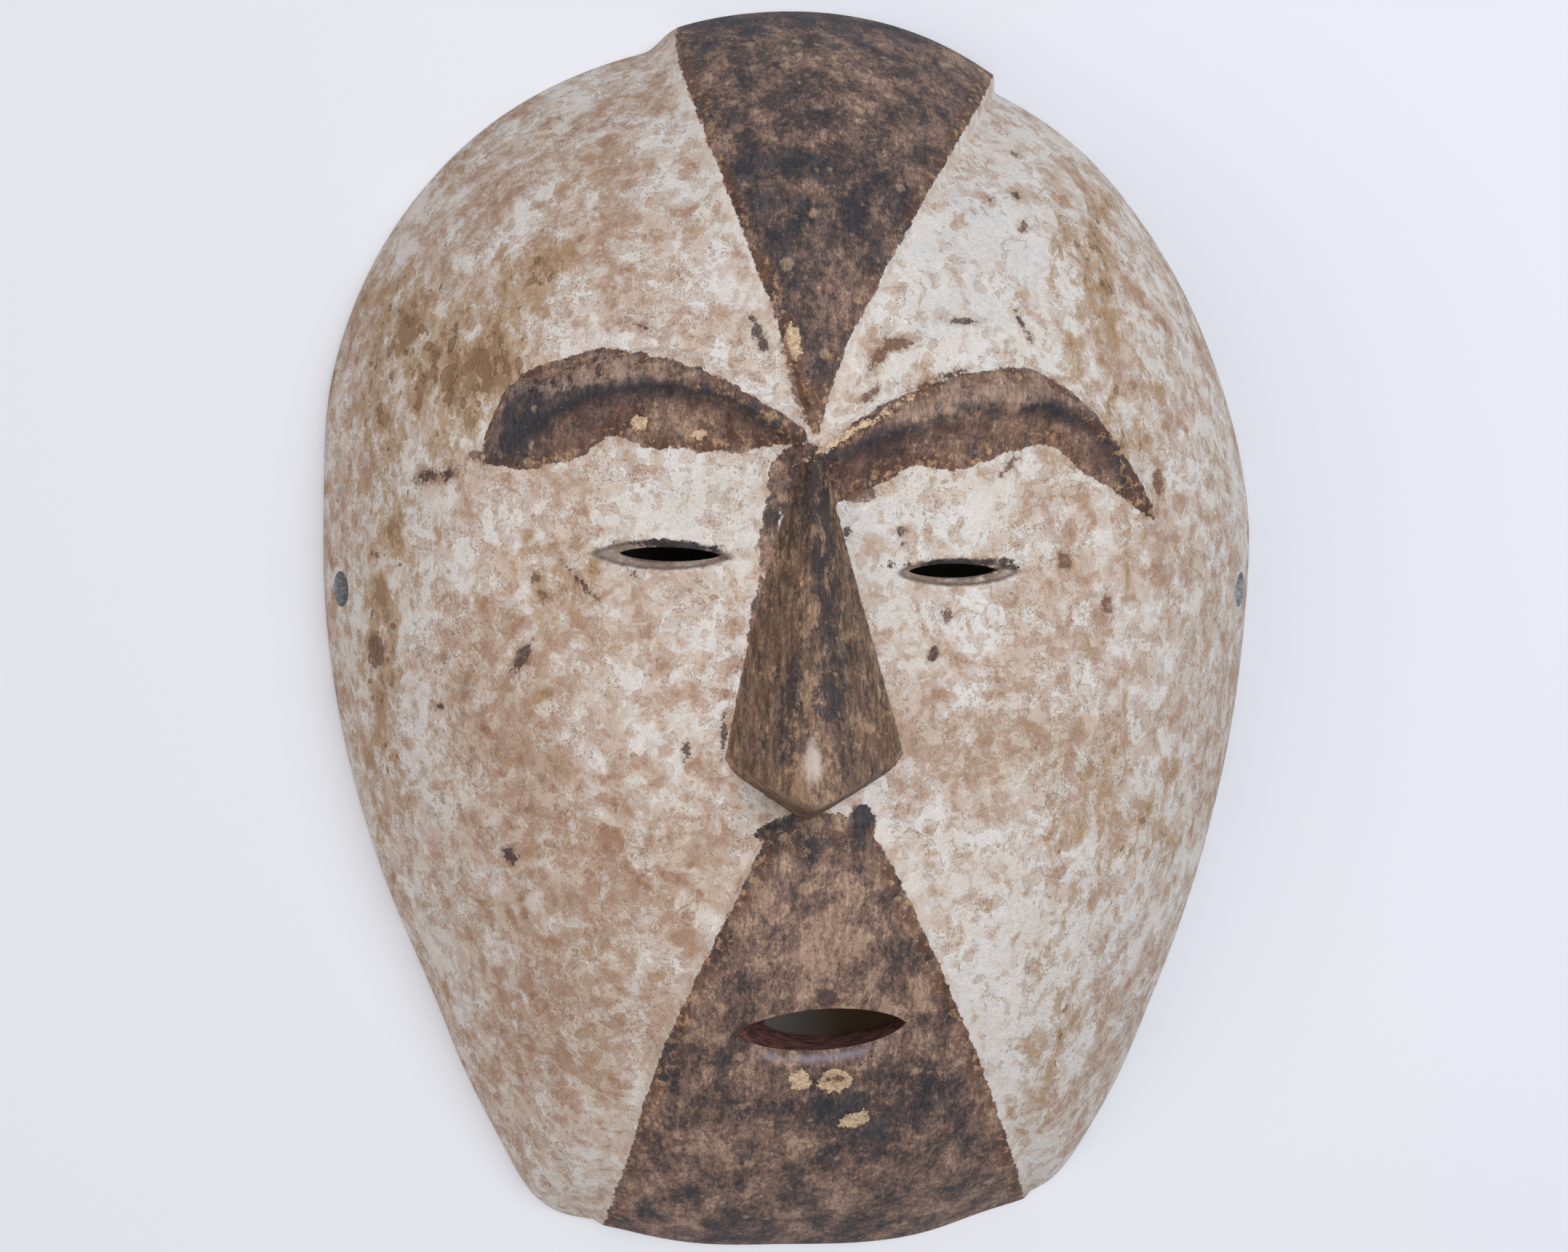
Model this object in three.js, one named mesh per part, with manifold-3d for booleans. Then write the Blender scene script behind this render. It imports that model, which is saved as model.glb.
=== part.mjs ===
// A Central African face mask, carved in one piece from light wood: an oval shell, hollow behind,
// with a raised forehead wedge, two arched brows, a long pyramid nose, a raised chin field,
// two narrow eye slits, a lens-shaped mouth and a cord hole through each side wall.
// Millimetres. The mask lies on its rim: +Z comes out of the face, +Y runs from the chin to the
// crown, +X is to the right of someone who looks at the face. The origin is on the rim's plane, in
// the middle of the outline.
import * as THREE from "three";
import { mergeVertices } from "three/addons/utils/BufferGeometryUtils.js";
import Module from "manifold-3d";

// Shell: from the middle to the rim's outer edge, every 15 degrees, from +X towards +Y
const RIM_RADII = [
  114.5, 119.5, 125, 132.5, 140.5, 144, 145.5, 146.5, 144.5, 138, 129, 118.5,
  113.6, 112.8, 116.2, 124.7, 142, 151, 148.7, 150.5, 145.5, 129, 118.8, 114.2,
];
const JAW_CORNERS = [{ at: 246.8, reach: 6, lift: 6.7 }, { at: 295, reach: 5, lift: 4.2 }]; // degrees
const JAW_FROM = 0.6; // share of the way out from which the jaw's corners show
const FACE_DEPTH = 76; // rim plane to the middle of the face
const FOREHEAD = { at: 85, reach: 45, lift: 7 }; // the forehead's bulge, by its distance up the face
const CHIN_FALL = { at: -150, reach: 70, lift: -6 };
const SECTION_POWER = 2.7; // 2 is an ellipse across the mask, and more is flatter in front
const WALL_FLARE = 1.1; // above 1, so that the side walls lean out towards the rim
const RIM_WALL = 9.5;
const FACE_WALL = 9;
const EYE_SWELL = { y: 16, wide: 62, high: 30, swell: 3.5 }; // the wall is left thicker here, inside
const SECTORS = 80;
const OUTER_RINGS = 18;
const INNER_RINGS = 11;
const BELOW_RIM = 1.035; // the loft runs this far past the rim and is then sawn off flat
const ROOT = 4; // how deep a raised piece is let into the shell's wall
const CLEAR = 30; // how far a cutter reaches past the surface that it starts at

// Brows: points along each crest line, from the nose outwards, then widths and heights
const BROWS = {
  left: [[-5, 43.5], [-20, 52], [-36, 55], [-52, 53], [-65, 47], [-73.5, 38.5]],
  right: [[3, 39.5], [15, 44.5], [33, 49.5], [50, 51.5], [66, 46], [79, 28.5]],
};
const BROW_RISE = 3.2;
const BROW_UPPER = 8; // from the crest line up to the edge against the forehead
const BROW_ROOT = 9; // how far its bulk reaches below the crest line, before the hollow is cut
const EYE_SET_BACK = 5; // how far the face under the brows lies behind the forehead
const EYE_HOLLOW = { fall: 13, fadeFrom: 20, fadeTo: -30, sideFrom: 52, sideTo: 88, clear: 0.35 };

// Forehead wedge, from its point at the nose to past the crown. Edges are given as [y, x].
const WEDGE = {
  left: [[43, -1.8], [62, -7.4], [95, -18.4], [125, -26.6], [138, -28.2], [152, -26]],
  right: [[43, -0.6], [62, 5.6], [95, 24], [125, 43.5], [152, 61]],
  step: [[43, 0.7], [95, 2.2], [130, 3.4], [150, 4.6]], // height of its edges, as [y, height]
  crown: [[43, 0.4], [95, 1.6], [130, 2.4], [150, 3]], // how much more its middle stands up
  leftFlank: [2.5, 9], // width of the slope outside the left edge, at the nose and past the crown
  rightFlank: [1.5, 2.8],
};

// Chin field, from the nose to past the chin
const FIELD = {
  left: [[-40, -9], [-60, -18], [-93, -32.5], [-125, -41.5], [-155, -48]],
  right: [[-40, 9.5], [-60, 20.3], [-93, 36.5], [-125, 51], [-155, 65]],
  step: [[-44, 1], [-93, 1.6], [-130, 1.6], [-153, 0.9]],
  crown: [[-44, 0.4], [-93, 1.2], [-130, 2], [-153, 2.6]],
  leftFlank: [1.5, 3],
  rightFlank: [1.5, 3],
};
const EDGE_WEAR = 0.3; // how much lower the very edge of either field is
const FLANK_TOE = 0.8; // how deep a flank's foot is let into the face

// Nose
const NOSE = {
  root: [-1.2, 41], // where its ridge starts, between the brows
  rootWidth: 3.2,
  wingLeft: [-21, -30],
  wingRight: [18.8, -29],
  bow: 1.6, // how much its left side bulges between the root and the wing
  tip: [-2.8, -38.8], // the lowest point of its front edge
  foot: 4, // how much lower its underside meets the face
  height: 24,
  rootHeight: 1.5,
  sunk: 0.4, // how far its side edges lie under the face around it
  ridge: 0.2, // share of the half width that the rounded ridge takes
};

// Openings: each is a lens of [length, height], a wide knife-cut one in front and a narrow one behind
const EYES = {
  left: { middle: [-33.2, 16.8], slit: [22.4, 3.2], cut: [-35.2, 16.6], funnel: [29.5, 6.2], turn: -1.5 },
  right: { middle: [31, 13.2], slit: [20.5, 3.2], cut: [32.2, 12.8], funnel: [27, 5.8], turn: 1 },
};
const EYE_CUT = { depth: 3.4, flare: 2.5 };
const MOUTH = {
  middle: [1.7, -91.6],
  outer: [39.6, 10.8],
  inner: [32, 9.6],
  turn: THREE.MathUtils.degToRad(3.9),
  shift: 3.9, // how much further right the inner lens is
  lean: THREE.MathUtils.degToRad(7),
  depth: 9,
  lip: 2.5, // how far the field around the mouth stands off the plain face
};
const CORD_HOLE = { diameter: 8, height: 12, along: 9.5, funnel: 0.5, funnelDepth: 1 };

const wasm = await Module();
wasm.setup();

// Smooth value through evenly spaced samples of a closed round.
function aroundRim(turns) {
  const count = RIM_RADII.length;
  const place = THREE.MathUtils.euclideanModulo(turns, 1) * count;
  const first = Math.floor(place);
  const t = place - first;
  const [a, b, c, d] = [-1, 0, 1, 2].map((step) => RIM_RADII[(first + step + count) % count]);
  return b + 0.5 * t * (c - a + t * (2 * a - 5 * b + 4 * c - d + t * (3 * (b - c) + d - a)));
}

// Smooth curve through [position, value] stations, straight beyond the first and the last.
function throughStations(stations, position) {
  const slope = (i) => {
    const [p0, v0] = stations[Math.max(i - 1, 0)];
    const [p1, v1] = stations[Math.min(i + 1, stations.length - 1)];
    return (v1 - v0) / (p1 - p0);
  };
  const rising = Math.sign(stations[1][0] - stations[0][0]);
  const spans = stations.length - 1;
  let i = 0;
  while (i < spans - 1 && (position - stations[i + 1][0]) * rising > 0) i += 1;
  const [p0, v0] = stations[i];
  const [p1, v1] = stations[i + 1];
  const span = p1 - p0;
  const t = (position - p0) / span;
  if (t < 0) return v0 + slope(0) * (position - p0);
  if (t > 1) return v1 + slope(spans) * (position - p1);
  const s0 = slope(i) * span;
  const s1 = slope(i + 1) * span;
  const rise = v1 - v0;
  return v0 + t * (s0 + t * (3 * rise - 2 * s0 - s1 + t * (s0 + s1 - 2 * rise)));
}

const bell = (value, { at, reach, lift }) => lift * Math.exp(-(((value - at) / reach) ** 2));
const mix = ([from, to], t) => from + (to - from) * t;

// How much further the outline reaches at the jaw's corners, fading towards the face.
function jawReach(turns, out) {
  const degrees = 360 * THREE.MathUtils.euclideanModulo(turns, 1);
  const reach = JAW_CORNERS.reduce((sum, corner) => sum + bell(degrees, corner), 0);
  return reach * THREE.MathUtils.smoothstep(out, JAW_FROM, 1);
}

// The shell's section: 1 in the middle of the face, 0 at the rim, below 0 past it.
const ownHeight = (share) => Math.sqrt(Math.max(0, 1 - (share / WALL_FLARE) ** SECTION_POWER));
const RIM_HEIGHT = ownHeight(1);
const section = (share) => (ownHeight(share) - RIM_HEIGHT) / (1 - RIM_HEIGHT);

// Height of the plain face, before anything is raised or hollowed on it, over a point of the plan.
function faceHeight(x, y, wallRim = 0, wallFace = 0) {
  const turns = Math.atan2(y, x) / (2 * Math.PI);
  const reach = Math.hypot(x, y);
  const oval = aroundRim(turns) - wallRim;
  const share = reach / (oval + jawReach(turns, reach / oval));
  const depth = FACE_DEPTH + bell(y, FOREHEAD) + bell(y, CHIN_FALL) - wallFace;
  return depth * section(Math.min(share, WALL_FLARE));
}

// How much lower the inside is carved behind the eyes, so that the wall stays thick there.
function innerSwell({ x, y }) {
  const { wide, high, swell } = EYE_SWELL;
  return swell * Math.exp(-((x / wide) ** 2) - ((y - EYE_SWELL.y) / high) ** 2);
}

// The brows' crest line as one curve from side to side, and what fades out towards its ends.
const BROW_LINE = [...BROWS.left].reverse().concat(BROWS.right);
const browLine = (x) => throughStations(BROW_LINE, x);
const sideFade = (x) =>
  1 - THREE.MathUtils.smoothstep(Math.abs(x), EYE_HOLLOW.sideFrom, EYE_HOLLOW.sideTo);

// Height of the face under the brows against the plain face: it falls off the crest line in a
// hollow curve, and comes back up to the plain face over the cheeks and at the sides.
function hollowLift(x, y) {
  const below = Math.max(0, browLine(x) - y) / EYE_HOLLOW.fall;
  const fallen = 1 - Math.max(0, 1 - below) ** 2;
  const down = THREE.MathUtils.smoothstep(y, EYE_HOLLOW.fadeTo, EYE_HOLLOW.fadeFrom);
  const crest = BROW_RISE * sideFade(x) * (1 - fallen);
  return crest - EYE_SET_BACK * fallen * down * sideFade(x);
}

// Height of the face as it is left after the hollow is cut.
const carvedHeight = (x, y) => faceHeight(x, y) + Math.min(0, hollowLift(x, y));

function faceNormal(x, y) {
  const step = 0.5;
  const slopeX = faceHeight(x + step, y) - faceHeight(x - step, y);
  const slopeY = faceHeight(x, y + step) - faceHeight(x, y - step);
  return new THREE.Vector3(-slopeX, -slopeY, 2 * step).normalize();
}

// A point that stands `lift` off the plain face, square to it.
function onFace(x, y, lift) {
  return new THREE.Vector3(x, y, faceHeight(x, y)).addScaledVector(faceNormal(x, y), lift);
}

// A closed solid through rings of equal count, with each end closed by a fan.
function loft(rings) {
  const count = rings[0].length;
  const middle = (ring) => ring.reduce((sum, p) => sum.add(p), new THREE.Vector3()).divideScalar(count);
  const points = [...rings.flat(), middle(rings[0]), middle(rings.at(-1))];
  const faces = [];
  const firstMiddle = points.length - 2;
  const lastRing = (rings.length - 1) * count;
  for (let i = 0; i < count; i += 1) {
    const next = (i + 1) % count;
    for (let ring = 0; ring < lastRing; ring += count) {
      faces.push(ring + i, ring + next, ring + count + next);
      faces.push(ring + i, ring + count + next, ring + count + i);
    }
    faces.push(firstMiddle, next, i);
    faces.push(firstMiddle + 1, lastRing + i, lastRing + next);
  }
  const geometry = new THREE.BufferGeometry().setFromPoints(points);
  geometry.setIndex(faces);
  return toSolid(geometry);
}

// A geometry as a solid that can be joined and cut, turned to face outwards.
function toSolid(geometry) {
  const bare = geometry.clone();
  bare.deleteAttribute("normal");
  bare.deleteAttribute("uv");
  const merged = mergeVertices(bare, 1e-4);
  const corners = [...merged.index.array];
  const triangles = [];
  for (let i = 0; i < corners.length; i += 3) {
    const [a, b, c] = corners.slice(i, i + 3);
    if (a !== b && b !== c && c !== a) triangles.push([a, b, c]);
  }
  const vertProperties = merged.attributes.position.array;
  const build = (faces) => new wasm.Manifold(
    new wasm.Mesh({ numProp: 3, vertProperties, triVerts: new Uint32Array(faces.flat()) }),
  );
  const made = build(triangles);
  return made.volume() > 0 ? made : build(triangles.map(([a, b, c]) => [a, c, b]));
}

// One ring of the shell, at a share of the way from the middle to the rim.
function shellRing(share, wallRim, wallFace) {
  return Array.from({ length: SECTORS }, (_, i) => {
    const turns = i / SECTORS;
    const reach = share * (aroundRim(turns) - wallRim + jawReach(turns, share));
    const x = reach * Math.cos(turns * 2 * Math.PI);
    const y = reach * Math.sin(turns * 2 * Math.PI);
    const swell = wallFace ? innerSwell({ x, y }) : 0;
    return new THREE.Vector3(x, y, faceHeight(x, y, wallRim, wallFace) - swell);
  });
}

// The oval shell: rings out over the face, round the rim, and back inside.
function shell() {
  const shares = (rings) => Array.from({ length: rings }, (_, i) => {
    const t = (i + 0.5) / (rings - 0.5);
    return BELOW_RIM * Math.sin(t * Math.PI * 0.5) ** 0.9;
  });
  const outer = shares(OUTER_RINGS).map((share) => shellRing(share, 0, 0));
  const inner = shares(INNER_RINGS).map((share) => shellRing(share, RIM_WALL, FACE_WALL));
  return loft([...outer, ...inner.reverse()]);
}

// A raised piece: at each station a row of [x, y, lift] across it, let into the wall below.
function raised(rows) {
  return loft(rows.map((row) => [
    ...row.map(([x, y, lift]) => onFace(x, y, lift)),
    ...row.map(([x, y]) => onFace(x, y, -ROOT)).reverse(),
  ]));
}

// A field between two edge lines, with a slope outside each edge and a rounded middle.
function raisedField({ left, right, step, crown, leftFlank, rightFlank }, stations, across = 8) {
  return raised(stations.map((y, i) => {
    const t = i / (stations.length - 1);
    const ends = [throughStations(left, y), throughStations(right, y)];
    const top = Array.from({ length: across + 1 }, (_, j) => {
      const side = (2 * j) / across - 1;
      const wear = Math.abs(side) === 1 ? EDGE_WEAR : 0;
      const lift = throughStations(step, y) + throughStations(crown, y) * (1 - side * side) - wear;
      return [mix(ends, j / across), y, lift];
    });
    return [
      [ends[0] - mix(leftFlank, t), y, -FLANK_TOE],
      ...top,
      [ends[1] + mix(rightFlank, t), y, -FLANK_TOE],
    ];
  }));
}

const stationsAlong = (from, to, count) =>
  Array.from({ length: count + 1 }, (_, i) => mix([from, to], i / count));

const foreheadWedge = () => raisedField(WEDGE, stationsAlong(43, 150, 30));
const chinField = () => raisedField(FIELD, stationsAlong(-44, -153, 30));

// A brow: an arched ridge with a small step against the forehead. Its underside is cut later.
function brow(points) {
  const line = new THREE.SplineCurve(points.map(([x, y]) => new THREE.Vector2(x, y)));
  const stations = 22;
  const profile = [ // share of the width above or below the crest, and share of the rise
    [1, -0.15], [0.93, 0.25], [0.5, 0.66], [0.2, 0.93], [0, 1], [-1, 0.7],
  ];
  return raised(Array.from({ length: stations + 1 }, (_, i) => {
    const t = i / stations;
    const crest = line.getPointAt(t);
    const along = line.getTangentAt(t);
    const up = new THREE.Vector2(-along.y, along.x);
    if (up.y < 0) up.negate();
    const swell = Math.sin(Math.PI * (0.14 + 0.8 * t)) ** 0.7;
    return profile.map(([reach, rise]) => {
      const width = reach > 0 ? BROW_UPPER : BROW_ROOT;
      const place = crest.clone().addScaledVector(up, reach * width * swell);
      return [place.x, place.y, BROW_RISE * rise * swell];
    });
  }));
}

// What is cut away under the brows: everything over the hollow's own surface.
function hollowCutter() {
  const steps = [0, 0.04, 0.1, 0.18, 0.3, 0.45, 0.62, 0.8, 1];
  const columns = stationsAlong(-90, 92, 44);
  return loft(columns.map((x) => {
    const top = browLine(x);
    const ys = steps.map((share) => mix([top, EYE_HOLLOW.fadeTo - 4], share));
    const floor = (y) => faceHeight(x, y) + hollowLift(x, y) + EYE_HOLLOW.clear;
    return [
      ...ys.map((y) => new THREE.Vector3(x, y, floor(y))),
      ...ys.map((y) => new THREE.Vector3(x, y, faceHeight(x, y) + CLEAR)).reverse(),
    ];
  }));
}

// The nose: a long pyramid with a rounded ridge, a front edge cut to a V, and a steep underside.
function nose() {
  const across = 12;
  const stations = 10;
  const slant = (out) => {
    const soft = Math.sqrt(out * out + NOSE.ridge ** 2) - NOSE.ridge * (1 - out);
    return 1 - soft / Math.sqrt(1 + NOSE.ridge ** 2);
  };
  const ridge = [
    faceHeight(...NOSE.root) + NOSE.rootHeight,
    faceHeight(...NOSE.tip) + NOSE.height,
  ];
  const point = (t, side, under) => {
    const out = Math.abs(side);
    const wing = side < 0 ? NOSE.wingLeft : NOSE.wingRight;
    const front = [0, 1].map((axis) => mix([NOSE.tip[axis], wing[axis]], out));
    const bow = side < 0 ? -NOSE.bow * out * Math.sin(Math.PI * t) : 0;
    const x = mix([NOSE.root[0] + (side * NOSE.rootWidth) / 2, front[0]], t) + bow;
    const y = mix([NOSE.root[1], front[1]], t) - (under ? NOSE.foot * (1 - 0.7 * out) : 0);
    const foot = carvedHeight(x, y) - NOSE.sunk;
    return new THREE.Vector3(x, y, under ? foot - NOSE.sunk : mix([foot, mix(ridge, t)], slant(out)));
  };
  const row = (t, under) =>
    Array.from({ length: across + 1 }, (_, j) => point(t, (2 * j) / across - 1, under));
  const rows = Array.from({ length: stations + 1 }, (_, i) => row(i / stations, false));
  return loft([...rows, row(1, true)].map((points) => [
    ...points,
    ...points.map(({ x, y }) => new THREE.Vector3(x, y, carvedHeight(x, y) - ROOT)).reverse(),
  ]));
}

// A lens outline in the plan, pointed at both ends.
function lensRing([x, y], [length, height], turn, z) {
  const count = 24;
  return Array.from({ length: count }, (_, i) => {
    const angle = (i / count) * 2 * Math.PI;
    const along = 0.5 * length * Math.cos(angle);
    const up = 0.5 * height * Math.sin(angle) * Math.abs(Math.sin(angle)) ** 0.35;
    return new THREE.Vector3(
      x + along * Math.cos(turn) - up * Math.sin(turn),
      y + along * Math.sin(turn) + up * Math.cos(turn),
      z,
    );
  });
}

// What is cut away for an eye: a knife-cut funnel in front, and a narrow slit through the wall.
function eyeCutter({ middle, slit, cut, funnel, turn: degrees }) {
  const { depth, flare } = EYE_CUT;
  const turn = THREE.MathUtils.degToRad(degrees);
  const surface = carvedHeight(...middle);
  return loft([
    lensRing(middle, slit, turn, surface - CLEAR),
    lensRing(middle, slit, turn, surface - depth),
    lensRing(cut, funnel, turn, surface),
    lensRing(cut, funnel.map((size) => size + flare), turn, surface + depth),
  ]);
}

// What is cut away for the mouth: a lens that narrows inwards and leans with the face.
function mouthCutter() {
  const { middle: [x, y], outer, inner, turn, shift, lean, depth, lip } = MOUTH;
  const surface = faceHeight(x, y);
  const ring = (below, size, across) =>
    lensRing([x + across, y + below * Math.tan(lean)], size, turn, surface - below);
  return loft([
    ring(CLEAR, inner, shift),
    ring(depth, inner, shift),
    ring(-lip, outer, 0),
    ring(-CLEAR, outer, 0),
  ]);
}

// A round cord hole through a side wall, drilled level, with its outer edge worn to a funnel.
function cordHoleCutter(side) {
  const { diameter, height, along, funnel, funnelDepth } = CORD_HOLE;
  const radius = diameter / 2;
  let reach = aroundRim(side > 0 ? 0 : 0.5);
  while (faceHeight(side * reach, along) < height) reach -= 0.1;
  const worn = new THREE.CylinderGeometry(radius + funnel * 2, radius, funnelDepth * 4, 20);
  const straight = new THREE.CylinderGeometry(radius, radius, CLEAR, 20);
  return [[worn, funnelDepth], [straight, 0]].map(([cylinder, out]) => {
    cylinder.rotateZ((-side * Math.PI) / 2);
    cylinder.translate(side * (reach + out), along, height);
    return toSolid(cylinder);
  }).reduce((sum, piece) => sum.add(piece));
}

// Everything under the rim's plane, where the back is sawn flat.
function belowRim() {
  return toSolid(new THREE.BoxGeometry(400, 400, 200).translate(0, 0, -100));
}

function carveMask() {
  const raisedParts = [foreheadWedge(), chinField(), brow(BROWS.left), brow(BROWS.right)];
  const wood = raisedParts
    .reduce((sum, piece) => sum.add(piece), shell())
    .subtract(hollowCutter())
    .add(nose());
  const cuts = [
    eyeCutter(EYES.left), eyeCutter(EYES.right), mouthCutter(),
    cordHoleCutter(-1), cordHoleCutter(1), belowRim(),
  ];
  return cuts.reduce((rest, cut) => rest.subtract(cut), wood);
}

function toGeometry(solid) {
  const { vertProperties, triVerts, numProp } = solid.getMesh();
  const geometry = new THREE.BufferGeometry();
  geometry.setAttribute("position", new THREE.BufferAttribute(vertProperties, numProp));
  geometry.setIndex(new THREE.BufferAttribute(triVerts, 1));
  geometry.computeVertexNormals();
  return geometry;
}

const whitenedWood = new THREE.MeshStandardMaterial({ color: 0xcbbcae, roughness: 0.85, metalness: 0 });

const mask = new THREE.Mesh(toGeometry(carveMask()), whitenedWood);
mask.name = "mask";
// The outline's own middle is brought over the origin.
const box = new THREE.Box3().setFromObject(mask);
mask.position.set(-(box.min.x + box.max.x) / 2, -(box.min.y + box.max.y) / 2, 0);

const galoaMask = new THREE.Group();
galoaMask.add(mask);

export default galoaMask;
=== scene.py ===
"""A Central African face mask, carved from one piece of light wood, lying face up on a pale floor.

The mask is one fine mesh that stands for the CAD solid. Its form is worked out over the mask's own
plan, in millimetres: x runs across the face, y from the chin to the crown, and z comes out of the
face. The same plan places the dark fields, the flakes and the stains. Everything on the mesh is in
metres, in the shared frame.
"""

import logging
import math
from dataclasses import dataclass, field
from enum import Enum
from functools import cached_property

import bpy
import numpy as np
from mathutils import Matrix, Vector, noise

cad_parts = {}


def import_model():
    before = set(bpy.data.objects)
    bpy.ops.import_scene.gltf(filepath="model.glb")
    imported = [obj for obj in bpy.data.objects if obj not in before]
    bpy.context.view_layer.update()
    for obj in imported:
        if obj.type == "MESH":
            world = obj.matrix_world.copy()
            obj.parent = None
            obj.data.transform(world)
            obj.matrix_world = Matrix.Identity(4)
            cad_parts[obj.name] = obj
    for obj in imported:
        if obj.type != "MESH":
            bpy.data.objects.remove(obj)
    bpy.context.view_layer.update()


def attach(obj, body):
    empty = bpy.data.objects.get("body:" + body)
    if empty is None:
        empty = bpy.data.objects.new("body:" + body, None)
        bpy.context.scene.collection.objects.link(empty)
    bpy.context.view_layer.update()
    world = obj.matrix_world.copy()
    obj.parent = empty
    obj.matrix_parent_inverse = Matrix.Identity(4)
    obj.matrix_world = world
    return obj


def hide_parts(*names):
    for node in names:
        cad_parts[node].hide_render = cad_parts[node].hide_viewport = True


LOG = logging.getLogger("mask")
MM = 0.001
CAD_NODE = "mask"

Array = np.ndarray
Pair = tuple[float, float]
Pairs = tuple[Pair, ...]
Triple = tuple[float, float, float]
Colour = tuple[int, int, int]
Socket = bpy.types.NodeSocket

EVEN: Triple = (1.0, 1.0, 1.0)


class Skin(Enum):
    """Which finish a face of the mask's mesh takes; the value is its material index."""

    PAINTED = 0
    INSIDE = 1
    CUT = 2
    BORE = 3


# Shared curves


def ramp(value: Array, low: float, high: float) -> Array:
    """Smooth step from 0 at low to 1 at high, where low may be the larger."""
    t = np.clip((value - low) / (high - low), 0.0, 1.0)
    return t * t * (3.0 - 2.0 * t)


def soft_max(a: Array, b: Array, blend: float) -> Array:
    """The larger of two values, with the corner between them rounded over a width of blend."""
    return 0.5 * (a + b + np.sqrt((a - b) ** 2 + blend**2) - blend * 0.15)


def soft_min(a: Array, b: Array, blend: float) -> Array:
    """The smaller of two values, with the corner between them rounded over a width of blend."""
    return 0.5 * (a + b - np.sqrt((a - b) ** 2 + blend**2) + blend * 0.15)


def mix(ends: Pair, t: Array) -> Array:
    """A value between two ends."""
    return ends[0] + (ends[1] - ends[0]) * t


@dataclass(frozen=True)
class Line:
    """A smooth line through (position, value) stations, straight beyond its ends."""

    stations: Pairs

    def at(self, position: Array) -> Array:
        """The line's value at each position."""
        stations = np.array(sorted(self.stations), dtype=float)
        spots, values = stations[:, 0], stations[:, 1]
        last = len(spots) - 1
        before = np.maximum(np.arange(last + 1) - 1, 0)
        after = np.minimum(np.arange(last + 1) + 1, last)
        slopes = (values[after] - values[before]) / (spots[after] - spots[before])
        position = np.asarray(position, dtype=float)
        i = np.clip(np.searchsorted(spots, position) - 1, 0, last - 1)
        span = spots[i + 1] - spots[i]
        t = (position - spots[i]) / span
        rise = values[i + 1] - values[i]
        first, second = slopes[i] * span, slopes[i + 1] * span
        bend = 3 * rise - 2 * first - second + t * (first + second - 2 * rise)
        curve = values[i] + t * (first + t * bend)
        curve = np.where(position < spots[0], values[0] + slopes[0] * (position - spots[0]), curve)
        return np.where(position > spots[-1], values[-1] + slopes[-1] * (position - spots[-1]), curve)


@dataclass(frozen=True)
class Trace:
    """A line drawn over the plan, through a few points."""

    points: Pairs

    @cached_property
    def samples(self) -> Array:
        """Points about a millimetre apart along the line."""
        corners = np.array(self.points, dtype=float)
        place = np.arange(len(corners), dtype=float)
        fine = np.linspace(0, place[-1], 40 * len(corners))
        x = Line(tuple(zip(place, corners[:, 0]))).at(fine)
        y = Line(tuple(zip(place, corners[:, 1]))).at(fine)
        reach = np.concatenate([[0.0], np.cumsum(np.hypot(np.diff(x), np.diff(y)))])
        even = np.linspace(0, reach[-1], max(12, int(reach[-1])))
        return np.stack([np.interp(even, reach, x), np.interp(even, reach, y)], axis=1)

    def nearest(self, x: Array, y: Array) -> tuple[Array, Array]:
        """Distance of each point from the line, and how far along it the nearest place is, 0 to 1."""
        gap = np.full(np.shape(x), 1e9)
        place = np.zeros(np.shape(x))
        starts, ends = self.samples[:-1], self.samples[1:]
        for k, (start, end) in enumerate(zip(starts, ends)):
            step = end - start
            share = ((x - start[0]) * step[0] + (y - start[1]) * step[1]) / (step @ step)
            share = np.clip(share, 0.0, 1.0)
            distance = np.hypot(x - start[0] - share * step[0], y - start[1] - share * step[1])
            nearer = distance < gap
            gap = np.where(nearer, distance, gap)
            place = np.where(nearer, (k + share) / len(starts), place)
        return gap, place


def lens_share(x: Array, y: Array, middle: Pair, size: Pair, turn: float = 0.0) -> Array:
    """How far out a point lies in a pointed lens: 0 in its middle, 1 on its outline.

    Args:
        x, y: points of the plan.
        middle: the lens's middle.
        size: its length and its height.
        turn: its angle, in radians.

    Returns:
        The share for each point, above 1 outside.
    """
    dx, dy = x - middle[0], y - middle[1]
    along = (dx * math.cos(turn) + dy * math.sin(turn)) / (0.5 * size[0])
    across = (dy * math.cos(turn) - dx * math.sin(turn)) / (0.5 * size[1])
    return np.sqrt(along**2 + np.abs(across) ** (2.0 / 1.35))


def lens_outline(middle: Pair, size: Pair, turn: float, count: int = 48) -> Array:
    """Points around a pointed lens, in the plan."""
    angle = np.linspace(0, 2 * math.pi, count, endpoint=False)
    along = 0.5 * size[0] * np.cos(angle)
    up = 0.5 * size[1] * np.sin(angle) * np.abs(np.sin(angle)) ** 0.35
    x = middle[0] + along * math.cos(turn) - up * math.sin(turn)
    y = middle[1] + along * math.sin(turn) + up * math.cos(turn)
    return np.stack([x, y], axis=1)


def rough(points: Array, size: float, seed: float) -> Array:
    """Soft unevenness between about -1 and 1, for points of the plan.

    Args:
        points: one row for each point.
        size: distance from one swelling to the next, in millimetres.
        seed: picks the pattern.

    Returns:
        A value for each point.
    """
    return np.array([noise.noise((p[0] / size, p[1] / size, seed)) for p in points])


# Form


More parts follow.
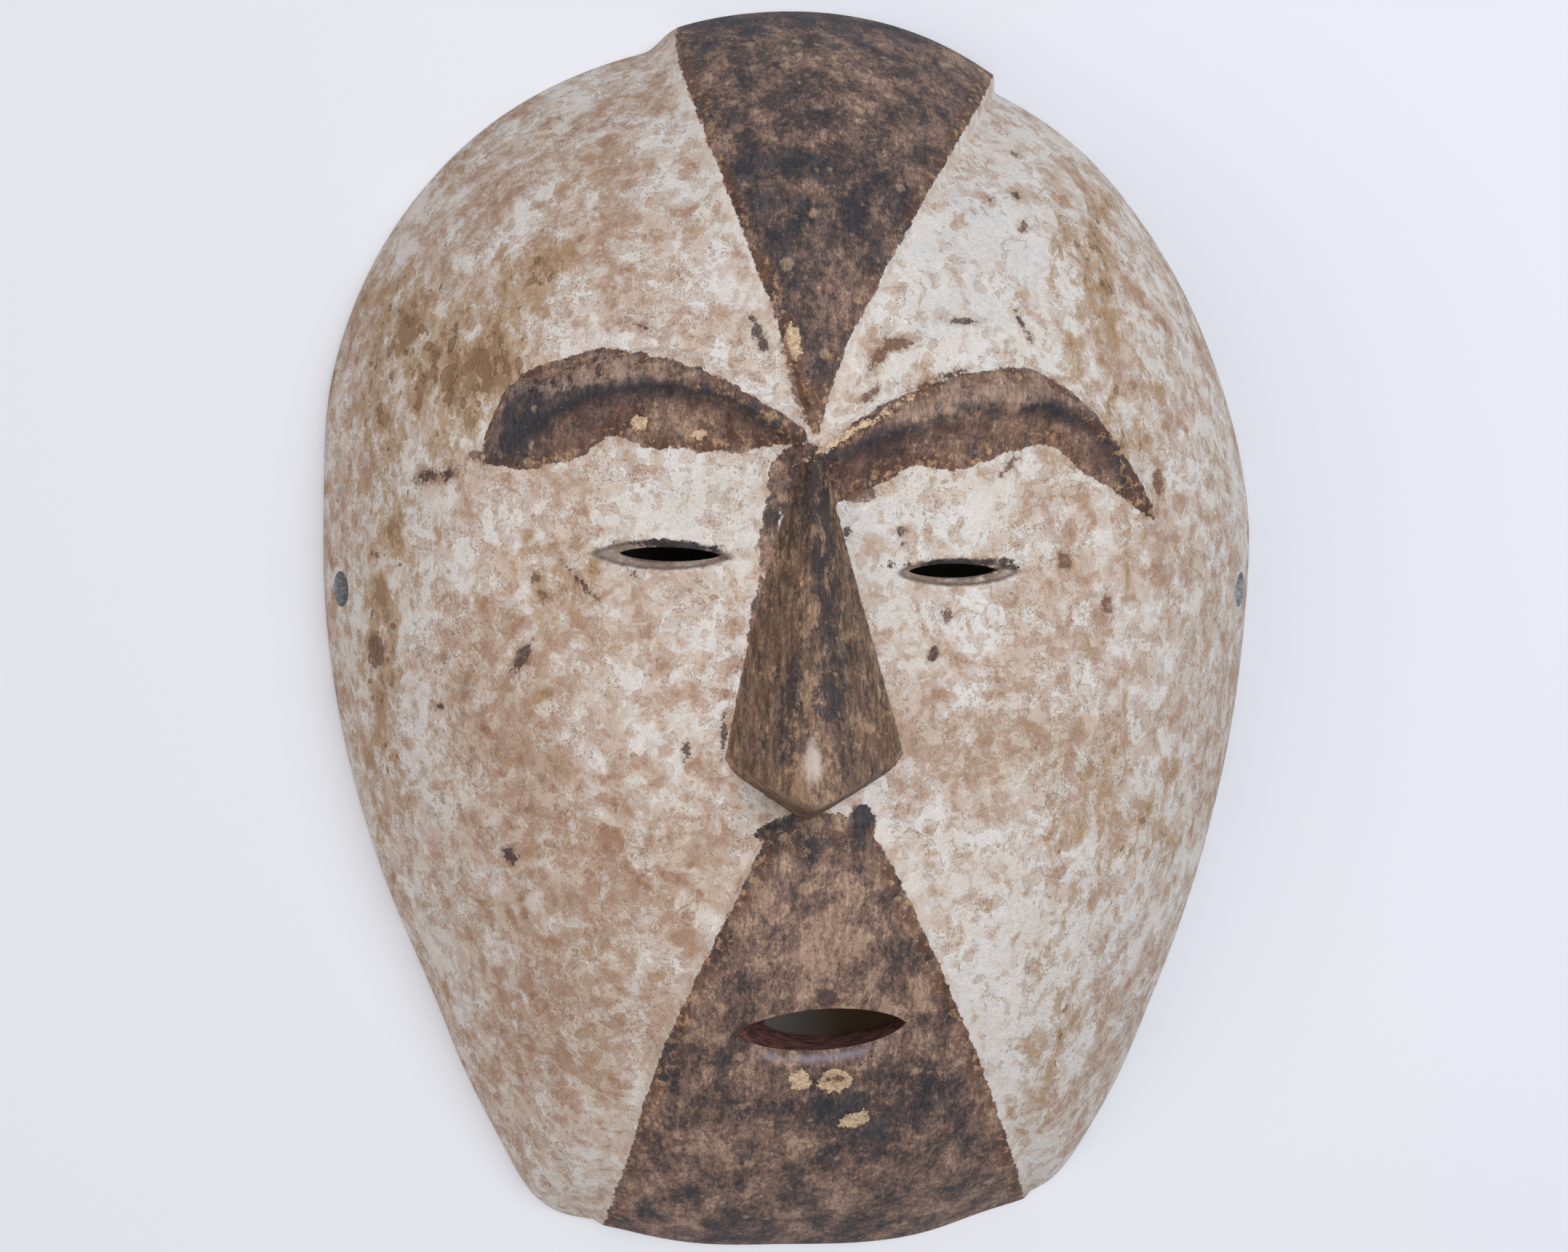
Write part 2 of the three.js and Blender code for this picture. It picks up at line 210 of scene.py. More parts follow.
@dataclass(frozen=True)
class Shell:
    """The oval shell, before anything is carved on it."""

    rim_radii: tuple[float, ...] = (
        114.5, 119.5, 125, 132.5, 140.5, 144, 145.5, 146.5, 144.5, 138, 129, 118.5,
        113.6, 112.8, 116.2, 124.7, 142, 151, 148.7, 150.5, 145.5, 129, 118.8, 114.2,
    )
    jaw_corners: tuple[Triple, ...] = ((246.8, 6.0, 6.7), (295.0, 5.0, 4.2))
    jaw_from: float = 0.6
    depth: float = 76.0
    forehead: Triple = (85.0, 45.0, 7.0)
    chin: Triple = (-150.0, 70.0, -6.0)
    power: float = 2.7
    flare: float = 1.1
    rim_wall: float = 9.5
    face_wall: float = 9.0
    eye_swell: tuple[float, float, float, float] = (16.0, 62.0, 30.0, 3.5)

    def rim(self, angle: Array) -> Array:
        """Distance from the middle to the rim's outer edge, at each angle from +X."""
        radii = np.array(self.rim_radii)
        count = len(radii)
        place = np.mod(angle / (2 * math.pi), 1.0) * count
        first = np.floor(place).astype(int)
        t = place - first
        a, b, c, d = (radii[(first + step) % count] for step in (-1, 0, 1, 2))
        return b + 0.5 * t * (c - a + t * (2 * a - 5 * b + 4 * c - d + t * (3 * (b - c) + d - a)))

    def jaw(self, angle: Array, out: Array) -> Array:
        """How much further the outline reaches at the jaw's corners, fading towards the face."""
        degrees = np.mod(np.degrees(angle), 360.0)
        reach = sum(lift * np.exp(-(((degrees - at) / wide) ** 2)) for at, wide, lift in self.jaw_corners)
        return reach * ramp(out, self.jaw_from, 1.0)

    def spread(self, share: Array, angle: Array, wall: float = 0.0) -> Array:
        """Points of the plan at a share of the way from the middle to the rim."""
        reach = share * (self.rim(angle) - wall + self.jaw(angle, share))
        return np.stack([reach * np.cos(angle), reach * np.sin(angle)], axis=1)

    def height(self, x: Array, y: Array, rim_wall: float = 0.0, face_wall: float = 0.0) -> Array:
        """Height of the plain face, or of the inside where walls are given, over the plan."""
        angle, reach = np.arctan2(y, x), np.hypot(x, y)
        oval = self.rim(angle) - rim_wall
        share = reach / (oval + self.jaw(angle, reach / oval))
        own = np.sqrt(np.maximum(0.0, 1.0 - (np.minimum(share, self.flare) / self.flare) ** self.power))
        at_rim = math.sqrt(1.0 - (1.0 / self.flare) ** self.power)
        depth = self.depth - face_wall
        for at, reach, lift in (self.forehead, self.chin):
            depth = depth + lift * np.exp(-(((y - at) / reach) ** 2))
        return depth * (own - at_rim) / (1.0 - at_rim)

    def inside(self, x: Array, y: Array) -> Array:
        """Height of the hollow's surface over the plan."""
        at, wide, high, more = self.eye_swell
        thicker = more * np.exp(-((x / wide) ** 2) - ((y - at) / high) ** 2)
        return self.height(x, y, self.rim_wall, self.face_wall) - thicker

    def normal(self, x: Array, y: Array) -> Array:
        """Unit normals of the plain face over the plan."""
        step = 0.5
        slope_x = self.height(x + step, y) - self.height(x - step, y)
        slope_y = self.height(x, y + step) - self.height(x, y - step)
        normal = np.stack([-slope_x, -slope_y, np.full_like(slope_x, 2 * step)], axis=1)
        return normal / np.linalg.norm(normal, axis=1, keepdims=True)


@dataclass(frozen=True)
class RaisedField:
    """A dark field that stands off the face between two edge lines, each given as x at a y.

    Outside each edge a whitened flank slopes down to the face.
    """

    left: Line
    right: Line
    start: float
    end: float
    step: Line
    crown: Line
    left_flank: Pair
    right_flank: Pair

    def edge_distance(self, x: Array, y: Array) -> Array:
        """Distance from the nearer edge, positive inside, in millimetres."""
        across = np.minimum(x - self.left.at(y), self.right.at(y) - x) * 0.93
        return np.minimum(across, (y - self.start) * math.copysign(1.0, self.end - self.start))

    def lift(self, x: Array, y: Array) -> Array:
        """How far the field and its flanks stand off the plain face."""
        held = np.clip(y, min(self.start, self.end), max(self.start, self.end))
        t = (held - self.start) / (self.end - self.start)
        left, right = self.left.at(y), self.right.at(y)
        side = np.clip((2 * x - left - right) / np.maximum(right - left, 0.1), -1.0, 1.0)
        stands = self.step.at(held) + self.crown.at(held) * (1 - side**2)
        rise = np.minimum(
            ramp((x - left) / mix(self.left_flank, t), -1.0, 0.15),
            ramp((right - x) / mix(self.right_flank, t), -1.0, 0.15),
        )
        past_start = (y - self.start) * math.copysign(1.0, self.end - self.start)
        return stands * rise * ramp(past_start, -0.6, 1.1)

    def edges(self) -> list[Array]:
        """Points along both edges and the feet of their flanks."""
        t = np.linspace(0, 1, 110)
        y = mix((self.start, self.end), t)
        left, right = self.left.at(y), self.right.at(y)
        feet = (left - mix(self.left_flank, t), right + mix(self.right_flank, t))
        return [np.stack([x, y], axis=1) for x in (left, right, *feet)]


@dataclass(frozen=True)
class Brow:
    """An arched brow: its crest line, and the edges of the dark band painted over it."""

    crest: Trace
    top: Line
    foot: Line
    ends: Pair
    rise: float = 3.2
    upper: float = 8.0
    under: float = 9.0

    def swell(self, place: Array) -> Array:
        """How full the brow is along its crest, from its inner end to its tail."""
        return np.sin(math.pi * (0.14 + 0.8 * place)) ** 0.7

    def upper_lift(self, x: Array, y: Array) -> Array:
        """How far the slope above the crest stands off the plain face, with a cut edge at its top."""
        gap, place = self.crest.nearest(x, y)
        u = gap / (self.upper * self.swell(place))
        slope = np.interp(u, (0.0, 0.2, 0.5, 0.9, 1.0), (1.0, 0.93, 0.66, 0.28, 0.0))
        groove = 0.1 * np.exp(-(((u - 1.04) / 0.08) ** 2))
        return (slope - groove) * self.rise * self.swell(place)

    def under_lift(self, x: Array, y: Array) -> Array:
        """How far the wood left under the crest stands off the plain face."""
        gap, place = self.crest.nearest(x, y)
        u = gap / (self.under * self.swell(place))
        return (1.0 - 0.3 * u) * ramp(u, 1.15, 0.85) * self.rise * self.swell(place)

    def paint_distance(self, x: Array, y: Array) -> Array:
        """Distance into the dark band, positive inside."""
        across = np.minimum(self.top.at(x) - y, y - self.foot.at(x)) * 0.9
        return np.minimum(across, np.minimum(x - self.ends[0], self.ends[1] - x))


@dataclass(frozen=True)
class EyeHollow:
    """The face under the brows, set back from the forehead and smooth to the cheeks."""

    crest: Line
    rise: float = 3.2
    set_back: float = 5.0
    fall: float = 13.0
    fade: Pair = (-30.0, 20.0)
    sides: Pair = (52.0, 88.0)
    clear: float = 0.35

    def floor(self, x: Array, y: Array) -> Array:
        """Height of the hollow's surface against the plain face."""
        below = np.maximum(0.0, self.crest.at(x) - y) / self.fall
        fallen = 1.0 - np.maximum(0.0, 1.0 - below) ** 2
        inwards = 1.0 - ramp(np.abs(x), *self.sides)
        return self.rise * inwards * (1 - fallen) - self.set_back * fallen * ramp(y, *self.fade) * inwards


@dataclass(frozen=True)
class Nose:
    """A long pyramid with a rounded ridge and a front edge cut to a V."""

    root: Pair = (-1.2, 41.0)
    root_width: float = 3.2
    wings: tuple[Pair, Pair] = ((-21.0, -30.0), (18.8, -29.0))
    bow: float = 1.6
    tip: Pair = (-2.8, -38.8)
    foot: float = 4.0
    height: float = 24.0
    root_height: float = 0.7
    sunk: float = 0.4
    ridge: float = 0.28
    corner: float = 2.0
    edge: float = 2.4

    def place(self, x: Array, y: Array) -> tuple[Array, Array]:
        """Each point's place on the nose: 0 at the root to 1 at the front edge, and -1 to 1 across."""
        side = np.zeros_like(x)
        t = np.zeros_like(x)
        for _ in range(8):
            out = np.clip(np.abs(side), 0.0, 1.2)
            left = side < 0
            wing_x = np.where(left, self.wings[0][0], self.wings[1][0])
            wing_y = np.where(left, self.wings[0][1], self.wings[1][1])
            blunt = (np.sqrt(out**2 + 0.01) - 0.1) / 0.905
            front_y = self.tip[1] + (wing_y - self.tip[1]) * blunt
            front_y = front_y + self.corner * np.clip((out - 0.78) / 0.22, 0.0, 1.5) ** 2
            t = (self.root[1] - y) / (self.root[1] - front_y)
            held = np.clip(t, 0.0, 1.3)
            half = 0.5 * self.root_width * (1 - held) + np.abs(wing_x - self.tip[0]) * held
            half = half + np.where(left, self.bow * np.sin(math.pi * np.clip(held, 0, 1)), 0.0)
            side = (x - mix((self.root[0], self.tip[0]), held)) / np.maximum(half, 0.6)
        return t, side

    def surface(self, x: Array, y: Array, face: Array, shell: Shell) -> Array:
        """Height of the nose over the plan; it dips under the face where the nose ends.

        Args:
            x, y: points of the plan.
            face: the carved face's height at each of them.
            shell: the shell that the nose stands on.

        Returns:
            The height for each point.
        """
        t, side = self.place(x, y)
        out = np.abs(side)
        soft = np.sqrt(out**2 + self.ridge**2) - self.ridge * (1 - np.minimum(out, 1.0))
        slant = 1.0 - soft / math.sqrt(1 + self.ridge**2)
        heights = [float(shell.height(*np.array(p)[:, None])[0]) for p in (self.root, self.tip)]
        ridge_z = mix((heights[0] + self.root_height, heights[1] + self.height), t)
        base = face - self.sunk
        top = base + (ridge_z - base) * slant
        length = self.root[1] - self.tip[1]
        past_front = (t - 1.0) * length
        reach = self.foot * (1 - 0.7 * np.minimum(out, 1.0))
        under = top - past_front / reach * (top - base + 0.4)
        return np.where(t < 0.0, base + t * length, soft_min(top, under, self.edge))

    def paint_distance(self, x: Array, y: Array) -> Array:
        """Distance into the nose's outline, positive inside."""
        t, side = self.place(x, y)
        half = 0.5 * self.root_width + 20.0 * np.clip(t, 0.0, 1.0)
        length = self.root[1] - self.tip[1]
        reach = self.foot * (1 - 0.7 * np.minimum(np.abs(side), 1.0))
        ends = np.minimum((1.0 - t) * length + reach, t * length - 2.5)
        return np.minimum((1 - np.abs(side)) * half, ends)

    def edges(self) -> list[Array]:
        """Points along the nose's sides, front edges, foot and ridge."""
        t = np.linspace(0, 1, 80)[:, None]
        root, tip = np.array(self.root), np.array(self.tip)
        lines = [root + (tip - root) * t]
        for wing in np.array(self.wings):
            lines.append(root + (wing - root) * t)
            lines.append(tip + (wing - tip) * t)
            lines.append(tip + (wing - tip) * t - np.array([0.0, 1.0]) * self.foot * (1 - 0.7 * t))
        return lines


@dataclass(frozen=True)
class EyeSlit:
    """A narrow slit through the wall, in a wider knife-cut funnel with a scratched tail."""

    middle: Pair
    slit: Pair
    funnel_middle: Pair
    funnel: Pair
    tail: Trace
    turn: float
    depth: float = 3.4

    def share(self, x: Array, y: Array) -> Array:
        """How far out each point lies in the funnel's outline."""
        return lens_share(x, y, self.funnel_middle, self.funnel, self.turn)

    def sink(self, x: Array, y: Array) -> Array:
        """How deep the funnel and its tail are cut at each point."""
        funnel = self.depth * np.clip(1.12 - self.share(x, y), 0.0, 1.0)
        gap, place = self.tail.nearest(x, y)
        return np.maximum(funnel, 0.75 * np.exp(-((gap / 0.55) ** 2)) * ramp(place, 1.0, 0.6))


@dataclass(frozen=True)
class Mouth:
    """A lens cut through the chin field, narrower behind, with a worn edge."""

    middle: Pair = (1.7, -91.6)
    outer: Pair = (39.6, 10.8)
    inner: Pair = (32.0, 9.6)
    turn: float = math.radians(3.9)
    shift: float = 3.9
    lean: float = math.radians(7.0)
    depth: float = 9.0
    lip: float = 2.5
    worn: float = 0.5
    worn_reach: float = 0.9

    def outside(self, x: Array, y: Array) -> Array:
        """Distance outside the opening's edge, about, and negative over the opening."""
        return (lens_share(x, y, self.middle, self.outer, self.turn) - 1.0) * 0.5 * self.outer[1]

    def sink(self, x: Array, y: Array) -> Array:
        """How much the edge around the opening is worn down."""
        return self.worn * np.exp(-np.maximum(self.outside(x, y), 0.0) / self.worn_reach)

    def below(self, x: Array, y: Array) -> Array:
        """Distance from the opening's edge, for points under its lower lip; far off elsewhere."""
        level = self.middle[1] + (x - self.middle[0]) * math.tan(self.turn)
        under = (y < level) & (np.abs(x - self.middle[0]) < 0.4 * self.outer[0])
        return np.where(under, self.outside(x, y), 30.0)


@dataclass(frozen=True)
class CordHole:
    """A level bore through each side wall, near the rim."""

    diameter: float = 8.0
    height: float = 12.0
    along: float = 9.5
    funnel: float = 0.5
    funnel_depth: float = 1.0


LEFT_CREST: Pairs = ((-5, 43.5), (-20, 52), (-36, 55), (-52, 53), (-65, 47), (-73.5, 38.5))
RIGHT_CREST: Pairs = ((3, 39.5), (15, 44.5), (33, 49.5), (50, 51.5), (66, 46), (79, 28.5))


@dataclass(frozen=True)
class Carving:
    """Everything that is carved on the shell."""

    shell: Shell = Shell()
    wedge: RaisedField = RaisedField(
        left=Line(((43, -1.8), (62, -7.4), (95, -18.4), (125, -26.6), (138, -28.2), (152, -26))),
        right=Line(((43, -0.6), (62, 5.6), (95, 24), (125, 43.5), (152, 61))),
        start=43.0, end=150.0,
        step=Line(((43, 0.7), (95, 2.2), (130, 3.4), (150, 4.6))),
        crown=Line(((43, 0.4), (95, 1.6), (130, 2.4), (150, 3))),
        left_flank=(2.5, 9.0), right_flank=(1.5, 2.8),
    )
    chin: RaisedField = RaisedField(
        left=Line(((-40, -9), (-60, -18), (-93, -32.5), (-125, -41.5), (-155, -48))),
        right=Line(((-40, 9.5), (-60, 20.3), (-93, 36.5), (-125, 51), (-155, 65))),
        start=-44.0, end=-153.0,
        step=Line(((-44, 1), (-93, 1.6), (-130, 1.6), (-153, 0.9))),
        crown=Line(((-44, 0.4), (-93, 1.2), (-130, 2), (-153, 2.6))),
        left_flank=(1.5, 3.0), right_flank=(1.5, 3.0),
    )
    left_brow: Brow = Brow(
        crest=Trace(LEFT_CREST),
        top=Line(((-75, 43), (-69.7, 55.2), (-60, 59.8), (-51, 62.7), (-42, 62.2), (-21, 55.4), (-7, 47))),
        foot=Line(((-75, 37), (-63, 36.6), (-52, 39.5), (-46, 43.8), (-40, 41.3), (-22, 39.8), (-7, 41))),
        ends=(-75.0, -3.0),
    )
    right_brow: Brow = Brow(
        crest=Trace(RIGHT_CREST),
        top=Line((
            (2, 40), (7.5, 46), (20, 52.9), (32, 57.1), (45, 59.2), (54, 57.4), (66.7, 46.8), (80, 29),
        )),
        foot=Line(((2, 27), (14, 32.6), (22, 37), (32, 35.8), (45, 40.4), (54, 41.8), (63, 35.7), (79, 26))),
        ends=(0.5, 80.5),
    )
    hollow: EyeHollow = EyeHollow(crest=Line(LEFT_CREST + RIGHT_CREST))
    nose: Nose = Nose()
    left_eye: EyeSlit = EyeSlit(
        (-33.2, 16.8), (22.4, 3.2), (-35.2, 16.6), (29.5, 6.2),
        tail=Trace(((-46, 17.2), (-49, 17.6), (-52, 18.0))), turn=math.radians(-1.5),
    )
    right_eye: EyeSlit = EyeSlit(
        (31.0, 13.2), (20.5, 3.2), (32.2, 12.8), (27.0, 5.8),
        tail=Trace(((42, 13.6), (44.5, 14.0), (47, 14.6))), turn=math.radians(1.0),
    )
    mouth: Mouth = Mouth()
    cord: CordHole = CordHole()
    groove: Trace = Trace(((-2.4, 43.0), (-5.2, 53.0), (-10.0, 66.0)))
    groove_depth: float = 1.3
    groove_width: float = 1.3
    swellings: tuple[Triple, ...] = ((0.28, 24.0, 3.1), (0.12, 9.0, 7.7))
    even_rim: float = 12.0
    nose_reach: float = 30.0
    nose_fillet: float = 0.6

    @property
    def brows(self) -> tuple[Brow, Brow]:
        """Both brows."""
        return self.left_brow, self.right_brow

    @property
    def eyes(self) -> tuple[EyeSlit, EyeSlit]:
        """Both eye slits."""
        return self.left_eye, self.right_eye

    @cached_property
    def middle(self) -> Pair:
        """Middle of the mask's outline, which the shared frame has at its origin."""
        angle = np.linspace(0, 2 * math.pi, 1440)
        outline = self.outline(*self.shell.spread(np.ones_like(angle), angle).T)
        low, high = outline.min(axis=0), outline.max(axis=0)
        return (float(low[0] + high[0]) / 2, float(low[1] + high[1]) / 2)

    def fields(self, x: Array, y: Array) -> Array:
        """How far the forehead wedge and the chin field stand off the plain face."""
        return np.maximum(self.wedge.lift(x, y), self.chin.lift(x, y))

    def outline(self, x: Array, y: Array) -> Array:
        """The rim's outer edge with the fields that run over it, for points on the shell's own rim."""
        outwards = self.shell.normal(x * 0.999, y * 0.999)[:, :2]
        flat = (outwards**2).sum(axis=1, keepdims=True)
        points = np.stack([x, y], axis=1) + outwards / flat * self.fields(x, y)[:, None]
        return np.concatenate([points, np.zeros((len(points), 1))], axis=1)

    def plain_place(self, points: Array) -> tuple[Array, Array]:
        """Where points of the carved face stood over the plan before the fields lifted them."""
        x, y = points[:, 0], points[:, 1]
        for _ in range(3):
            moved = self.shell.normal(x, y)[:, :2] * self.fields(x, y)[:, None]
            x, y = points[:, 0] - moved[:, 0], points[:, 1] - moved[:, 1]
        return x, y

    def lifts(self, x: Array, y: Array) -> tuple[Array, Array]:
        """How far the carved face stands off the plain one: along its normal, and straight up."""
        fields = self.fields(x, y)
        above = y >= self.hollow.crest.at(x)
        upper = np.maximum(*(brow.upper_lift(x, y) for brow in self.brows))
        under = np.maximum(*(brow.under_lift(x, y) for brow in self.brows))
        floor = self.hollow.floor(x, y) + self.hollow.clear
        under = np.where(above, 0.0, soft_min(np.maximum(under, 0.0), floor, 0.3))
        gap, place = self.groove.nearest(x, y)
        cut = self.groove_depth * np.exp(-((gap / self.groove_width) ** 2)) * ramp(place, 1.0, 0.5)
        along = soft_max(fields, np.where(above, upper, 0.0), 0.3) - cut
        return along, under

    def face(self, x: Array, y: Array) -> Array:
        """Points of the carved face over the plan, in millimetres."""
        along, up = self.lifts(x, y)
        plain = self.shell.height(x, y)
        points = np.stack([x, y, plain], axis=1) + self.shell.normal(x, y) * along[:, None]
        uneven = sum(high * rough(points, size, seed) for high, size, seed in self.swellings)
        up = up + uneven * ramp(plain, 0.0, self.even_rim)
        points[:, 2] += up
        nose = self.nose.surface(x, y, plain + np.minimum(up, 0.0), self.shell)
        joined = soft_max(points[:, 2], nose, self.nose_fillet)
        points[:, 2] = np.where(np.abs(x) < self.nose_reach, joined, points[:, 2])
        for eye in self.eyes:
            points[:, 2] -= eye.sink(x, y)
        points[:, 2] -= self.mouth.sink(x, y)
        return points

    def crisp_lines(self) -> Array:
        """Points along every line that needs a fine mesh."""
        lines = [*self.wedge.edges(), *self.chin.edges(), *self.nose.edges(), self.groove.samples]
        for brow in self.brows:
            samples = brow.crest.samples
            along = np.gradient(samples, axis=0)
            across = np.stack([-along[:, 1], along[:, 0]], axis=1)
            across = across / np.linalg.norm(across, axis=1, keepdims=True)
            across = across * np.sign(across[:, 1:2])
            swell = brow.swell(np.linspace(0, 1, len(samples)))[:, None]
            lines += [samples, samples + across * brow.upper * swell]
        for eye in self.eyes:
            lines += [lens_outline(eye.funnel_middle, eye.funnel, eye.turn)]
            lines += [lens_outline(eye.middle, eye.slit, eye.turn)]
            lines += [eye.tail.samples]
        lines += [lens_outline(self.mouth.middle, self.mouth.outer, self.mouth.turn)]
        return np.concatenate(lines)


# Mesh


def deselect() -> None:
    """Leaves nothing selected."""
    bpy.ops.object.select_all(action="DESELECT")


def only(piece: bpy.types.Object) -> None:
    """Makes a piece the only one selected, and active."""
    deselect()
    piece.select_set(True)
    bpy.context.view_layer.objects.active = piece


def corners(piece: bpy.types.Object) -> Array:
    """All vertices of a mesh, one row each."""
    flat = np.zeros(len(piece.data.vertices) * 3)
    piece.data.vertices.foreach_get("co", flat)
    return flat.reshape(-1, 3)


def place_corners(piece: bpy.types.Object, points: Array) -> None:
    """Moves the vertices of a mesh to the points given."""
    piece.data.vertices.foreach_set("co", points.ravel())
    piece.data.update()


def face_middles(piece: bpy.types.Object) -> Array:
    """The middles of all faces of a mesh, one row each."""
    flat = np.zeros(len(piece.data.polygons) * 3)
    piece.data.polygons.foreach_get("center", flat)
    return flat.reshape(-1, 3)


def edge_ends(piece: bpy.types.Object) -> Array:
    """The two vertices of each edge of a mesh, one row each."""
    flat = np.zeros(len(piece.data.edges) * 2, dtype=np.int32)
    piece.data.edges.foreach_get("vertices", flat)
    return flat.reshape(-1, 2)


def edit(piece: bpy.types.Object, kind: str, chosen: Array) -> None:
    """Leaves a mesh in edit mode, with only the chosen parts of one kind selected.

    Args:
        piece: the mesh's object.
        kind: "FACE" or "EDGE".
        chosen: whether each face or edge is selected.
    """
    only(piece)
    bpy.ops.object.mode_set(mode="EDIT")
    bpy.ops.mesh.select_mode(type=kind)
    bpy.ops.mesh.select_all(action="DESELECT")
    bpy.ops.object.mode_set(mode="OBJECT")
    parts = piece.data.polygons if kind == "FACE" else piece.data.edges
    parts.foreach_set("select", chosen)
    bpy.ops.object.mode_set(mode="EDIT")


def turn_faces_out() -> None:
    """Turns all faces of the mesh in edit mode outwards."""
    bpy.ops.mesh.select_all(action="SELECT")
    bpy.ops.mesh.normals_make_consistent(inside=False)


def subdivide(piece: bpy.types.Object, chosen: Array) -> None:
    """Halves the chosen faces of a mesh each way."""
    edit(piece, "FACE", chosen)
    bpy.ops.mesh.subdivide(number_cuts=1, ngon=False)
    bpy.ops.object.mode_set(mode="OBJECT")


def gap_to(points: Array, lines: Array) -> Array:
    """Distance of each point of the plan from the nearest point of the lines."""
    gaps = [
        np.sqrt(((part[:, None, :] - lines[None, :, :]) ** 2).sum(axis=2).min(axis=1))
        for part in np.array_split(points, max(1, len(points) // 2000))
    ]
    return np.concatenate(gaps)


@dataclass
class MaskPiece:
    """The mask as one fine mesh: a slab is shaped into face, rim and hollow, then cut through."""

    carving: Carving = field(default_factory=Carving)
    grid: int = 97
    crowding: float = 0.9
    rim_bevel: float = 0.9
    near: Pair = (2.4, 1.6)
    crisp: Pair = (0.9, 0.8)
    flute_width: float = 11.0
    flute_length: float = 44.0
    flute_depth: float = 0.7
    flute_fade: Pair = (2.0, 14.0)
    past_wall: float = 30.0
    past_lip: float = 20.0
    past_lid: float = 10.0
    bore_sides: int = 40
    weld: float = 0.01

    def to_plan(self, square: Array, wall: float) -> Array:
        """Points of a square from -1 to 1, brought over the oval plan.

        Args:
            square: one row for each point.
            wall: how far inside the rim's outer edge the square's border comes to lie.

        Returns:
            Their places in the plan, in millimetres.
        """
        u, v = square[:, 0], square[:, 1]
        x, y = u * np.sqrt(1 - v**2 / 2), v * np.sqrt(1 - u**2 / 2)
        out, angle = np.hypot(x, y), np.arctan2(y, x)
        share = np.sin(self.crowding * out) / math.sin(self.crowding)
        return self.carving.shell.spread(share, angle, wall)

    def build(self) -> bpy.types.Object:
        """Models the mask and returns it, in metres, in the shared frame."""
        piece = self.slab()
        self.refine(piece)
        self.shape(piece)
        self.cut(piece)
        self.finish(piece)
        return piece

    def slab(self) -> bpy.types.Object:
        """A closed square slab, two units wide and two thick, with a finer top."""
        deselect()
        count = self.grid
        bpy.ops.mesh.primitive_grid_add(x_subdivisions=count, y_subdivisions=count, size=2)
        piece = bpy.context.object
        piece.name = "carved_mask"
        bpy.ops.object.mode_set(mode="EDIT")
        bpy.ops.mesh.select_all(action="SELECT")
        bpy.ops.transform.translate(value=(0, 0, -1))
        bpy.ops.mesh.extrude_region_move(TRANSFORM_OT_translate={"value": (0, 0, 2)})
        turn_faces_out()
        bpy.ops.object.mode_set(mode="OBJECT")
        subdivide(piece, face_middles(piece)[:, 2] > 0.99)
        return piece

    def refine(self, piece: bpy.types.Object) -> None:
        """Halves the top's faces near the carved lines and the chips, and again right on them."""
        lines, spots = self.carving.crisp_lines(), PaintMap().spots()
        for by_line, by_spot in (self.near, self.crisp):
            middles = face_middles(piece)
            top = middles[:, 2] > 0.99
            plan = self.to_plan(middles[top, :2], 0.0)
            chosen = top.copy()
            chosen[top] = (gap_to(plan, lines) < by_line) | (gap_to(plan, spots) < by_spot)
            subdivide(piece, chosen)
            LOG.info("refined within %.1f mm: %d faces", by_line, len(piece.data.polygons))

    def shape(self, piece: bpy.types.Object) -> None:
        """Brings the slab to the mask's form, and gives the hollow its own finish."""
        shell = self.carving.shell
        square = corners(piece)
        top = square[:, 2] > 0
        points = np.zeros_like(square)
        plan = self.to_plan(square[top, :2], 0.0)
        points[top] = self.carving.face(plan[:, 0], plan[:, 1])
        points[top, 2] -= PaintMap().flaked(plan[:, 0], plan[:, 1])
        plan = self.to_plan(square[~top, :2], shell.rim_wall)
        points[~top, :2] = plan
        points[~top, 2] = shell.inside(plan[:, 0], plan[:, 1]) + self.gouges(plan)
        border = np.abs(square[:, :2]).max(axis=1) > 0.9999
        points[border, 2] = 0.0
        plan = self.to_plan(square[border & top, :2], 0.0)
        points[border & top] = self.carving.outline(plan[:, 0], plan[:, 1])
        inside = (face_middles(piece)[:, 2] < -0.99).astype(np.int32)
        place_corners(piece, (points - (*self.carving.middle, 0.0)) * MM)
        for _ in Skin:
            piece.data.materials.append(None)
        piece.data.polygons.foreach_set("material_index", inside * Skin.INSIDE.value)
        ends = edge_ends(piece)
        edit(piece, "EDGE", border[ends].all(axis=1) & (top[ends[:, 0]] == top[ends[:, 1]]))
        bpy.ops.mesh.bevel(offset=self.rim_bevel * MM, segments=2, clamp_overlap=True)
        turn_faces_out()
        bpy.ops.object.mode_set(mode="OBJECT")

    def gouges(self, plan: Array) -> Array:
        """How much deeper the gouge went at points inside: shallow flutes that run up the mask."""
        wander = 5.0 * rough(plan, 60.0, 1.3)
        drift = 20.0 * rough(plan, 30.0, 5.9)
        flute = np.abs(np.sin(math.pi * (plan[:, 0] + wander) / self.flute_width))
        ends = np.abs(np.sin(math.pi * (plan[:, 1] + drift) / self.flute_length))
        depth = self.carving.shell.height(plan[:, 0], plan[:, 1])
        return self.flute_depth * flute * (0.4 + 0.6 * ends) * ramp(depth, *self.flute_fade)

